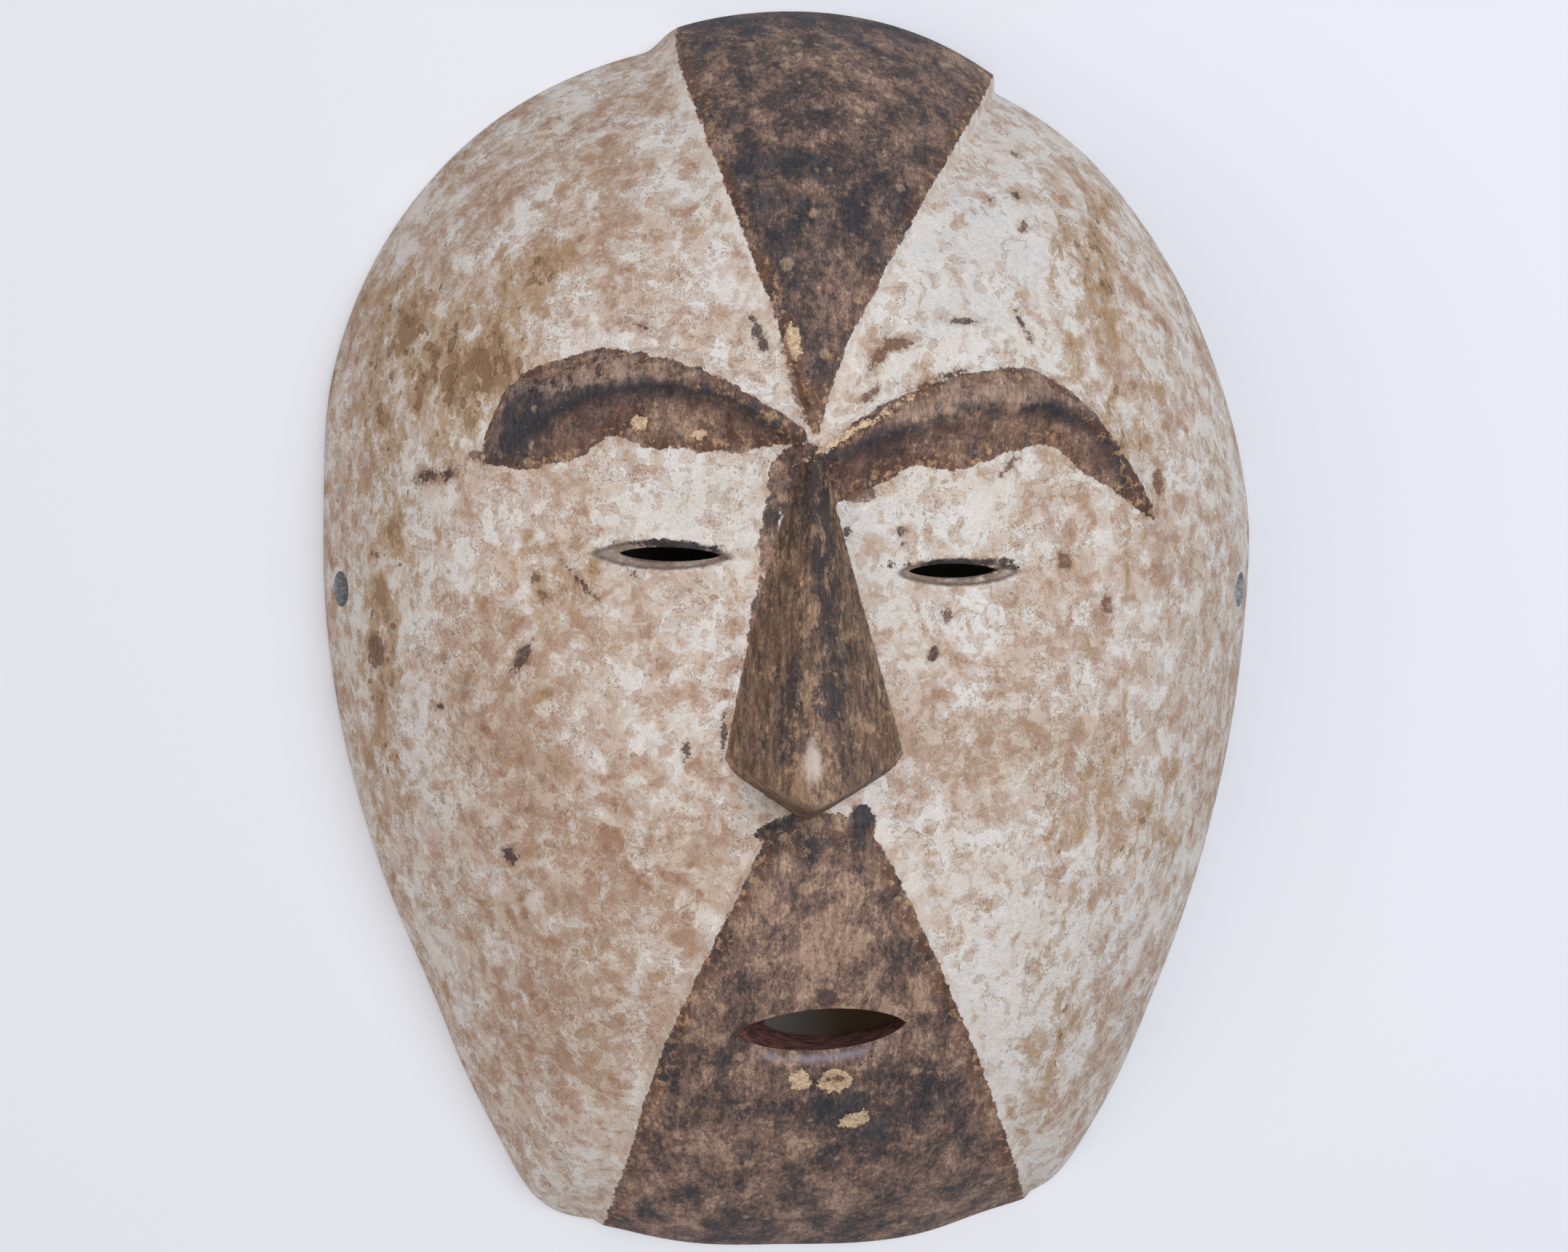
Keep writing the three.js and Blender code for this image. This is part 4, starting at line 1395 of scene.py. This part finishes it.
@dataclass(frozen=True)
class ClayWash:
    """White clay paint that damp and handling have stained in lobed, see-through rounds."""

    clean: Colour = (214, 207, 201)
    cream: Colour = (209, 198, 187)
    cool: Colour = (201, 198, 195)
    tan: Colour = (194, 172, 155)
    brown: Colour = (176, 151, 130)
    glaze: Colour = (238, 228, 221)
    deep: Colour = (233, 219, 208)
    amber: Colour = (222, 200, 170)
    ring: Colour = (206, 182, 158)
    tide: Colour = (172, 140, 108)
    ochre: Colour = (168, 136, 101)
    ochre_dark: Colour = (132, 99, 68)
    ochre_rim: Colour = (92, 68, 50)
    speck: Colour = (120, 107, 100)

    def colour(self, r: Recipe) -> Socket:
        """The paint's colour, with painted shade in its small pits."""
        wash, ochre = r.read("wash"), r.read("ochre")
        wet = r.stir(r.stir(r.place, 9.0, 2.4, 1.1), 1.7, 0.7, 4.2)
        broad = r.noise(32, 2, seed=3.1)
        grain = r.noise(0.9, 5, 0.8, seed=0.9)
        colour = r.mix(r.step(r.noise(15, 4, seed=8.2, at=wet), 0.4, 0.64), self.clean, self.cream)
        patchy = r.step(r.noise(8, 4, seed=2.9, at=wet), 0.36, 0.66)
        greyed = r.times(r.step(r.read("cool"), 0.1, 1.0), patchy)
        colour = r.mix(greyed, colour, self.cool, 0.7)
        colour = self.stain(r, colour, wash, broad, wet, grain)
        colour = self.spots(r, colour, wash, ochre, wet, grain)
        colour = self.smoke(r, colour, ochre, wet, grain)
        # Painted shade: darker mottling standing in for shade in the paint's small pits, mixed with the
        # grain's own tone.
        pit_shade = r.noise(1.9, 5, 0.7, stretch=(1, 1.6, 1.6), at=wet, seed=6.2)
        colour = r.shade(colour, r.sum((grain, 0.55), (pit_shade, 0.45)), 0.78, 1.14)
        colour = r.shade(colour, r.noise(0.45, 1, 0.8, seed=2.6), 0.91, 1.08)
        specks = r.sum((r.noise(0.8, 3, 0.7, seed=7.1), 1.0), (broad, 0.3), (1.0, -0.15))
        return r.mix(r.step(specks, 0.61, 0.7), colour, self.speck, 0.6)

    def stain(
        self, r: Recipe, under: Socket, wash: Socket, broad: Socket, wet: Socket, grain: Socket,
    ) -> Socket:
        """The soft tan stain, with tide lines, and cleaner clouds and veins in it."""
        level = r.sum((r.noise(9, 6, 0.6, at=wet, seed=1.4), 1.0), (broad, 0.3), (wash, 0.11), (1.0, -0.15))
        soft = r.sum((level, 1.0), (grain, 0.16), (1.0, -0.08))
        colour = r.mix(r.step(soft, 0.475, 0.575), under, self.tan, 0.85)
        colour = r.mix(r.step(soft, 0.58, 0.7), colour, self.brown, 0.45)
        second = r.noise(4.6, 5, 0.64, at=wet, seed=5.9)
        second = r.sum((second, 1.0), (wash, 0.06), (broad, 0.2), (grain, 0.14), (1.0, -0.17))
        colour = r.glaze(r.step(second, 0.49, 0.56), colour, self.glaze)
        colour = r.glaze(r.step(second, 0.58, 0.63), colour, self.deep, 0.8)
        veil = r.sum((r.noise(6.5, 5, 0.64, at=wet, seed=6.6), 1.0), (grain, 0.14), (1.0, -0.07))
        colour = r.mix(r.step(veil, 0.54, 0.64), colour, self.clean, 0.55)
        here = r.step(r.noise(12, 2, seed=2.7), 0.36, 0.54)
        lines = r.larger(r.band(level, 0.505, 0.008), r.band(second, 0.53, 0.011))
        return r.glaze(r.times(lines, here), colour, self.tide, 0.9)

    def spots(
        self, r: Recipe, under: Socket, wash: Socket, ochre: Socket, wet: Socket, grain: Socket,
    ) -> Socket:
        """Round stains of three sizes, each with a darker rim."""
        colour = under
        crowd = r.noise(17, 3, seed=7.3)
        for size, share, own, tint in (
            (8.0, -0.42, 0.12, self.glaze), (4.2, -0.54, 0.14, self.deep), (2.1, -0.76, 0.14, self.amber),
        ):
            held = r.sum((wash, own), (ochre, 0.1), (crowd, 0.9), (1.0, share))
            level = r.sum((r.rounds(wet, size, held, size * 3.3), 1.0), (grain, 1.4), (1.0, -0.7))
            colour = r.glaze(r.step(level, 0.0, 0.9), colour, tint, 0.9)
            colour = r.glaze(r.band(level, 0.25, 0.3), colour, self.ring, 0.55)
        return colour

    def smoke(self, r: Recipe, under: Socket, ochre: Socket, wet: Socket, grain: Socket) -> Socket:
        """Brown stain that gathers towards the sides, in drawn-out patches."""
        streak = r.noise(5.0, 5, 0.68, stretch=(1, 2.2, 2.2), at=wet, seed=4.8)
        level = r.sum((streak, 1.0), (ochre, 0.21), (grain, 0.3), (1.0, -0.17))
        tint = r.shade(self.ochre, r.noise(2.4, 5, 0.72, at=wet, seed=3.6), 0.8, 1.18)
        colour = r.mix(r.step(level, 0.56, 0.66), under, tint, 0.75)
        colour = r.mix(r.step(level, 0.68, 0.76), colour, self.ochre_dark, 0.7)
        drawn = r.vector("MULTIPLY", wet, (1.0, 0.75, 0.75))
        held = r.sum((ochre, 0.7), (streak, 1.6), (1.0, -1.32))
        cells = r.sum((r.rounds(drawn, 2.6, held, 4.6), 1.0), (grain, 1.0), (1.0, -0.5))
        colour = r.mix(r.step(cells, 0.0, 0.35), colour, self.ochre_dark, 0.66)
        return r.mix(r.band(cells, 0.12, 0.26), colour, self.ochre_rim, 0.7)


@dataclass(frozen=True)
class DarkStain:
    """Wood stained dark, granular, smoked nearly black in places and worn to tan in others, with painted
    light and shade: a highlight under the lower lip and on the nose's tip, and on each brow a lighter upper
    slope and dark lines of shade.
    """

    black: Colour = (52, 49, 53)
    slate: Colour = (62, 61, 67)
    dark: Colour = (82, 67, 62)
    brown: Colour = (121, 96, 84)
    tan: Colour = (165, 135, 115)
    tan_round: Colour = (178, 149, 122)
    rust: Colour = (94, 62, 48)
    # lip_highlight: a painted highlight, the blue-grey sheen under the lower lip.
    lip_highlight: Colour = (142, 137, 149)
    orange: Colour = (168, 132, 98)
    light: Colour = (200, 176, 150)
    # brow_lit_and_worn: the upper slope of a brow, worn and made lighter as painted light.
    brow_lit_and_worn: Colour = (158, 133, 119)
    nose_wood: Colour = (132, 107, 87)
    nose_dark: Colour = (84, 66, 54)
    nose_ruddy: Colour = (124, 92, 78)
    nose_black: Colour = (56, 50, 52)
    nose_pink: Colour = (166, 134, 108)
    # pale: a worn spot near the nose's tip, made lighter still as a painted highlight.
    pale: Colour = (208, 192, 182)

    def colour(self, r: Recipe) -> Socket:
        """The stained wood's colour, with a painted highlight under the lower lip and on the nose's tip."""
        smoked, worn = r.read("smoked"), r.read("worn")
        grain = r.noise(1.1, 5, 0.78, stretch=(1, 1.6, 1.4), seed=1.2)
        tone = r.noise(8.5, 5, 0.7, stretch=(1, 1.4, 1.4), warp=0.3, seed=2.2)
        tone = r.sum((tone, 1.0), (grain, 0.55), (worn, 0.09), (smoked, -0.1), (1.0, -0.275))
        colour = r.mix(r.step(tone, 0.36, 0.43), self.black, self.dark)
        colour = r.mix(r.step(tone, 0.46, 0.53), colour, self.brown)
        colour = r.mix(r.step(tone, 0.565, 0.645), colour, self.tan, 0.85)
        blue = r.sum((smoked, 0.14), (r.noise(7.0, 5, 0.7, seed=9.4), 1.0), (grain, 0.4), (1.0, -0.2))
        colour = r.mix(r.step(blue, 0.6, 0.7), colour, self.slate, 0.7)
        colour = self.spots(r, colour, worn, grain)
        colour = self.brows(r, colour, grain)
        colour = self.border(r, colour, smoked, grain)
        colour = self.nose(r, colour, grain)
        flecks = r.noise(0.9, 4, 0.75, stretch=(1, 1.7, 1.5), seed=1.9)
        colour = r.mix(r.step(flecks, 0.62, 0.7), colour, self.light, 0.35)
        colour = r.mix(r.step(flecks, 0.41, 0.34), colour, self.black, 0.75)
        colour = r.shade(colour, r.noise(0.8, 5, 0.8, stretch=(1, 2.2, 1.8), seed=7.7), 0.5, 1.46)
        colour = r.shade(colour, r.noise(1.3, 4, 0.7, stretch=(1, 8.0, 5.0), warp=0.3, seed=4.9), 0.7, 1.26)
        # Painted highlight: a blue-grey sheen in patches along the edge under the lower lip.
        lip_highlight_share = r.step(r.noise(6.0, 4, seed=2.4), 0.38, 0.56)
        lip_highlight_share = r.times(r.band(r.read("lip"), 0.3, 1.2), lip_highlight_share)
        colour = r.mix(lip_highlight_share, colour, self.lip_highlight, 0.6)
        # The nose's tip: worn wood with a painted highlight over it.
        worn_tip_highlight = r.sum((r.read("pale"), 1.0), (grain, 1.0), (1.0, -0.5))
        return r.mix(r.step(worn_tip_highlight, 0.15, 1.15), colour, self.pale, 0.8)

    def spots(self, r: Recipe, under: Socket, worn: Socket, grain: Socket) -> Socket:
        """Scattered tan rounds."""
        place = r.stir(r.place, 1.8, 0.8, 3.3)
        held = r.sum((worn, 0.14), (r.noise(14, 3, seed=5.2), 0.6), (1.0, -0.28))
        level = r.sum((r.rounds(place, 4.0, held, 10.9), 1.0), (grain, 1.6), (1.0, -0.8))
        return r.mix(r.step(level, 0.0, 0.8), under, self.tan_round, 0.5)

    def brows(self, r: Recipe, under: Socket, grain: Socket) -> Socket:
        """Lighter above each brow's crest, as wear and painted light on the upward slope, with painted shade
        as a soft dark line just under the crest and along the top.
        """
        sway = r.noise(5.5, 5, 0.65, seed=4.1)
        crest = r.sum((r.read("crest"), 1.0), (sway, 4.0), (grain, 2.0), (1.0, -3.0))
        brow = r.read("brow")
        within = r.step(brow, -1.0, 0.5)
        upper = r.times(within, r.step(crest, 0.2, 2.0))
        # Above the crest: worn wood, lighter as painted light where the slope faces up.
        worn_and_lit_top = r.times(upper, r.step(r.read("smoked"), 1.0, 0.3))
        mottled = r.noise(4.5, 5, 0.7, seed=8.8)
        mottled = r.sum((mottled, 1.0), (grain, 0.5), (r.read("worn"), 0.06), (1.0, -0.25))
        colour = r.mix(r.times(worn_and_lit_top, r.step(mottled, 0.42, 0.53)), under, self.brow_lit_and_worn, 0.8)
        # Painted shade: a soft dark line along the brow's top edge, where a small groove runs.
        top = r.sum((brow, 1.0), (mottled, 5.0), (1.0, -2.5))
        colour = r.mix(r.times(upper, r.step(top, 2.4, 0.6)), colour, self.black, 0.45)
        lower = r.times(within, r.step(crest, -1.8, -3.0))
        reddish = r.sum((r.noise(7.0, 5, 0.7, seed=2.3), 1.0), (grain, 0.5), (1.0, -0.25))
        colour = r.mix(r.times(lower, r.step(reddish, 0.44, 0.56)), colour, self.rust, 0.55)
        # Painted shade: a soft dark line just under the crest.
        faint = r.step(r.noise(13.0, 3, seed=6.9), 0.34, 0.48)
        line = r.times(r.times(within, faint), r.band(crest, -1.2, 4.2))
        return r.mix(line, colour, self.black, 0.9)

    def border(self, r: Recipe, under: Socket, smoked: Socket, grain: Socket) -> Socket:
        """Rust-brown and orange along the edges of the dark fields."""
        inner = r.larger(r.read("field"), r.read("brow"))
        deep = r.sum((inner, 1.0), (smoked, 3.4))
        near = r.times(r.step(inner, -1.8, -0.8), r.step(deep, 6.2, 1.6))
        patchy = r.sum((r.noise(6.0, 4, 0.65, seed=3.9), 1.0), (grain, 0.3), (1.0, -0.15))
        colour = r.mix(r.times(near, r.step(patchy, 0.43, 0.56)), under, self.rust, 0.75)
        bits = r.sum((r.noise(2.2, 5, 0.7, seed=6.1), 1.0), (grain, 0.3), (1.0, -0.15))
        return r.mix(r.times(near, r.step(bits, 0.53, 0.62)), colour, self.orange, 0.8)

    def nose(self, r: Recipe, under: Socket, grain: Socket) -> Socket:
        """Brown wood on the nose, sooty on both sides of a worn ridge, with a rubbed front edge."""
        on_nose = r.step(r.read("nose"), -0.2, 0.5)
        streaks = r.noise(1.1, 5, 0.75, stretch=(1, 7, 5), seed=2.8)
        broad = r.noise(9.0, 4, 0.65, stretch=(1, 2.4, 2), seed=6.4)
        wood = r.mix(r.step(streaks, 0.4, 0.6), self.nose_dark, self.nose_wood)
        wood = r.mix(r.step(broad, 0.42, 0.66), wood, self.nose_ruddy, 0.5)
        soot = r.noise(4.2, 6, 0.72, stretch=(1, 1.5, 1.3), seed=5.3)
        soot = r.sum((soot, 1.0), (r.read("soot"), 0.17), (grain, 0.5), (1.0, -0.25))
        wood = r.mix(r.step(soot, 0.54, 0.7), wood, self.nose_black, 0.85)
        bared = r.noise(3.0, 5, 0.7, stretch=(1, 1.7, 1.5), seed=7.4)
        bared = r.sum((bared, 1.0), (r.read("bared"), 0.16), (grain, 0.45), (1.0, -0.225))
        wood = r.mix(r.step(bared, 0.54, 0.68), wood, self.nose_pink, 0.8)
        front = r.read("front")
        below = r.noise(0.9, 4, 0.7, stretch=(7, 2, 1), seed=3.4)
        below = r.mix(r.step(below, 0.4, 0.6), self.nose_dark, self.nose_wood)
        wood = r.mix(r.step(front, 0.6, 1.6), wood, below)
        rubbed = r.times(r.band(front, 0.2, 1.1), r.step(r.noise(5.0, 3, seed=2.0), 0.4, 0.55))
        wood = r.mix(rubbed, wood, self.nose_pink, 0.6)
        return r.mix(on_nose, under, wood)


@dataclass(frozen=True)
class PaintedFace:
    """The whole outside: clay wash, dark fields, brows and nose, and every chip, with painted light and shade
    on the fields' flanks, in the eye funnels, on the brows, under the lower lip and on the nose's tip.
    """

    clay: ClayWash = ClayWash()
    stain: DarkStain = DarkStain()
    chip_dark: Colour = (70, 58, 56)
    chip_brown: Colour = (110, 82, 66)
    chip_cream: Colour = (204, 176, 144)
    halo: Colour = (206, 184, 164)
    # lip: the lighter band on the flanks beside the dark fields, partly cleaner paint and partly a painted
    # highlight.
    lip: Colour = (220, 208, 196)
    # eye_dirt_and_shade: dirt in the eye funnels with painted shade; eye_shade_line: painted shade along the
    # funnel's edge and towards the slit.
    eye_dirt_and_shade: Colour = (128, 108, 94)
    eye_shade_line: Colour = (70, 54, 46)

    def dress(self) -> bpy.types.Material:
        """Makes the material."""
        r = Recipe("clay_and_dark_stain")
        coarse = r.sum((r.noise(6.5, 3, 0.6, seed=2.1), 6.0), (1.0, -3.0))
        fine = r.sum((r.noise(1.7, 5, 0.7, seed=4.4), 5.0), (1.0, -2.5))
        field, brow, nose = r.read("field"), r.read("brow"), r.read("nose")
        drawn = r.sum((field, 1.0), (coarse, 0.3), (fine, 0.45))
        drawn = r.larger(drawn, r.sum((nose, 1.0), (fine, 0.15)))
        drawn = r.larger(drawn, r.sum((brow, 1.0), (coarse, 0.55), (fine, 0.5)))
        drawn = r.larger(drawn, r.sum((r.read(Tone.STAIN.value), 1.0), (coarse, 0.35), (fine, 0.6)))
        is_dark = r.step(drawn, -0.16, 0.2)
        white = self.clay.colour(r)
        # The flanks beside the dark fields: cleaner paint with a painted highlight, in patches.
        edge = r.sum((field, 1.0), (coarse, 0.5), (fine, 0.5))
        rim = r.times(r.step(edge, -3.4, -1.6), r.step(r.noise(7, 3, seed=9.9), 0.36, 0.5))
        white = r.mix(rim, white, self.lip, 0.3)
        # Each eye funnel: dirt with painted shade over it, and painted shade as a dark line along the
        # funnel's edge and darker towards the slit.
        eye = r.sum((r.read("eye"), 1.0), (fine, 0.12))
        funnel_dirt_and_shade = r.shade(self.eye_dirt_and_shade, r.noise(1.4, 5, 0.7, seed=1.6), 0.7, 1.3)
        funnel_dirt_and_shade_share = r.times(r.step(eye, -0.3, 0.5), r.step(r.noise(3.4, 4, 0.7, seed=5.9), 0.3, 0.5))
        white = r.mix(funnel_dirt_and_shade_share, white, funnel_dirt_and_shade, 0.85)
        lid_shade_share = r.larger(r.band(eye, 0.05, 0.5), r.step(eye, 0.8, 1.5))
        white = r.mix(lid_shade_share, white, self.eye_shade_line, 0.7)
        colour = r.mix(is_dark, white, self.stain.colour(r))
        chips = {Tone.CREAM: self.chip_cream, Tone.BROWN: self.chip_brown, Tone.DARK: self.chip_dark}
        for tone, chip in chips.items():
            depth = r.sum((r.read(tone.value), 1.0), (coarse, 0.3), (fine, 0.9))
            worn = r.step(r.noise(1.2, 5, 0.75, seed=3.3), 0.34, 0.54)
            share = r.times(r.step(depth, -0.1, 0.2), r.sum((worn, 0.45), (1.0, 0.55)))
            shaded = r.shade(chip, r.noise(0.9, 5, 0.78, seed=8.3), 0.55, 1.45)
            colour = r.glaze(r.step(depth, -1.3, 0.0), colour, self.halo, 0.5)
            colour = r.mix(share, colour, shaded, 0.92)
        grain = r.noise(0.8, 3, 0.7, seed=0.3)
        lumps = r.noise(3.6, 4, 0.68, stretch=(1, 1.5, 1.5), seed=6.2)
        height = r.sum((grain, 0.4), (lumps, 1.0))
        rough = r.sum((is_dark, -0.16), (r.noise(3.0, 3, seed=5.0), 0.12), (1.0, 0.78))
        return r.finish(colour, rough, r.relief(height, 0.6), 0.3)


@dataclass(frozen=True)
class BareWood:
    """Unpainted wood inside, gouged, with dust and old hand grease."""

    light: Colour = (168, 138, 108)
    dark: Colour = (118, 88, 64)
    grime: Colour = (78, 62, 52)

    def dress(self) -> bpy.types.Material:
        """Makes the material."""
        r = Recipe("bare_wood_inside")
        grain = r.noise(1.6, 4, 0.6, stretch=(1, 14, 3), warp=0.3, seed=2.0)
        colour = r.mix(r.step(grain, 0.38, 0.62), self.dark, self.light)
        colour = r.mix(r.step(r.noise(28, 4, seed=1.0), 0.5, 0.7), colour, self.grime, 0.6)
        colour = r.shade(colour, r.noise(3.0, 4, 0.7, seed=6.0), 0.85, 1.12)
        return r.finish(colour, 0.75, r.relief(grain, 0.3), 0.3)


@dataclass(frozen=True)
class CutWood:
    """The walls of the openings, dark with age and touched by the red-brown of old stain."""

    dark: Colour = (70, 50, 46)
    red: Colour = (116, 76, 68)

    def dress(self) -> bpy.types.Material:
        """Makes the material."""
        r = Recipe("cut_wood")
        grain = r.noise(1.4, 4, 0.65, stretch=(3, 1, 1), seed=3.0)
        colour = r.mix(r.step(grain, 0.4, 0.6), self.dark, self.red)
        return r.finish(colour, 0.7, r.relief(grain, 0.2), 0.3)


@dataclass(frozen=True)
class PaintedLightBoreWall:
    """The walls of the cord holes, painted a light grey as painted light, for the light that shows through
    the holes.
    """

    # Lighter than the bore's own shade would show: painted light.
    light: Colour = (150, 152, 156)
    dark: Colour = (116, 116, 120)

    def dress(self) -> bpy.types.Material:
        """Makes the material."""
        r = Recipe("bore_wall_painted_light")
        grain = r.noise(1.6, 4, 0.7, seed=3.7)
        colour = r.mix(r.step(grain, 0.4, 0.62), self.dark, self.light)
        return r.finish(colour, 0.85, r.relief(grain, 0.2), 0.2)


# Studio


@dataclass(frozen=True)
class PhotoCamera:
    """The camera at the photograph's angle, looking down on the lying mask."""

    distance: float = 750.0
    aim: Triple = (0.0, 0.0, 30.0)
    yaw: float = math.radians(5.0)
    slide: Pair = (-4.0, 0.6)
    focal: float = 4324.8
    picture_width: float = 2156.0
    sensor: float = 36.0
    nearest: float = 0.01

    def build(self, middle: Pair) -> bpy.types.Object:
        """Places the camera and makes it the scene's own."""
        back = Vector((-math.sin(self.yaw), 0.0, math.cos(self.yaw)))
        right = Vector((math.cos(self.yaw), 0.0, math.sin(self.yaw)))
        up = Vector((0.0, 1.0, 0.0))
        aim = Vector(self.aim) - Vector((middle[0], middle[1], 0.0))
        place = aim + back * self.distance + right * self.slide[0] + up * self.slide[1]
        turn = Matrix((right, up, back)).transposed().to_4x4()
        bpy.ops.object.camera_add()
        camera = bpy.context.object
        camera.name = "photo_camera"
        camera.matrix_world = Matrix.Translation(place * MM) @ turn
        camera.data.sensor_width = self.sensor
        camera.data.lens = self.focal * self.sensor / self.picture_width
        camera.data.clip_start = self.nearest
        bpy.context.scene.camera = camera
        return camera


@dataclass(frozen=True)
class PaleFloor:
    """A matte pale floor."""

    colour: Colour = (221, 221, 225)
    roughness: float = 0.9

    def dress(self) -> bpy.types.Material:
        """Makes the material."""
        material = bpy.data.materials.new("pale_floor")
        material.use_nodes = True
        shader = material.node_tree.nodes["Principled BSDF"]
        shader.inputs["Base Color"].default_value = linear(self.colour)
        shader.inputs["Roughness"].default_value = self.roughness
        return material


@dataclass(frozen=True)
class SoftBox:
    """A square soft box that faces the mask. Lengths are in metres."""

    name: str
    place: Triple
    size: float
    power: float
    tint: Colour

    def build(self) -> None:
        """Adds the lamp."""
        bpy.ops.object.light_add(type="AREA", location=self.place)
        lamp = bpy.context.object
        lamp.name = self.name
        lamp.data.size = self.size
        lamp.data.energy = self.power
        lamp.data.color = linear(self.tint)[:3]
        lamp.rotation_euler = (-Vector(self.place)).to_track_quat("-Z", "Y").to_euler()


@dataclass(frozen=True)
class HollowLamp:
    """A dim lamp in the hollow that lights the floor behind the mouth. Lengths are in metres."""

    place: Triple = (0.0, -0.02, 0.055)
    aim: Triple = (0.004, -0.1, 0.0)
    spread: float = math.radians(64.0)
    blend: float = 0.6
    radius: float = 0.008
    power: float = 0.012
    tint: Colour = (255, 198, 122)

    def build(self) -> None:
        """Adds the lamp."""
        bpy.ops.object.light_add(type="SPOT", location=self.place)
        lamp = bpy.context.object
        lamp.name = "hollow"
        lamp.data.spot_size = self.spread
        lamp.data.spot_blend = self.blend
        lamp.data.shadow_soft_size = self.radius
        lamp.data.energy = self.power
        lamp.data.color = linear(self.tint)[:3]
        lamp.rotation_euler = (Vector(self.aim) - Vector(self.place)).to_track_quat("-Z", "Y").to_euler()


@dataclass(frozen=True)
class Studio:
    """A pale floor and soft light, brightest from the upper right."""

    floor_size: float = 6.0
    floor_drop: float = 0.0002
    key: SoftBox = SoftBox("key", (0.5, 0.3, 1.4), 0.9, 18.4, (243, 249, 255))
    fill: SoftBox = SoftBox("fill", (-1.3, -0.35, 1.2), 1.2, 10.2, (255, 246, 238))
    hollow: HollowLamp = HollowLamp()
    sky: tuple[float, float, float, float] = (0.94, 0.95, 1.0, 1.0)
    sky_strength: float = 0.34

    def build(self) -> None:
        """Adds the floor, the lamps and the sky."""
        deselect()
        bpy.ops.mesh.primitive_plane_add(size=self.floor_size, location=(0, 0, -self.floor_drop))
        floor = bpy.context.object
        floor.name = "studio_floor"
        floor.data.materials.append(PaleFloor().dress())
        for lamp in (self.key, self.fill, self.hollow):
            lamp.build()
        bpy.context.scene.view_settings.view_transform = "Standard"
        world = bpy.data.worlds.new("studio")
        bpy.context.scene.world = world
        world.use_nodes = True
        sky = world.node_tree.nodes["Background"]
        sky.inputs["Color"].default_value = self.sky
        sky.inputs["Strength"].default_value = self.sky_strength


def main() -> None:
    """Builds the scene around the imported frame."""
    logging.basicConfig(level=logging.INFO, format="%(name)s: %(message)s")
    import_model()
    carving = Carving()
    PhotoCamera().build(carving.middle)
    Studio().build()
    mask = MaskPiece(carving).build()
    PaintMap().write(mask, carving)
    finishes = {
        Skin.PAINTED: PaintedFace(), Skin.INSIDE: BareWood(), Skin.CUT: CutWood(), Skin.BORE: PaintedLightBoreWall(),
    }
    for skin, finish in finishes.items():
        mask.data.materials[skin.value] = finish.dress()
    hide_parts(CAD_NODE)
    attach(mask, "root")
    LOG.info("carved_mask: %d faces", len(mask.data.polygons))


if __name__ == "__main__":
    main()
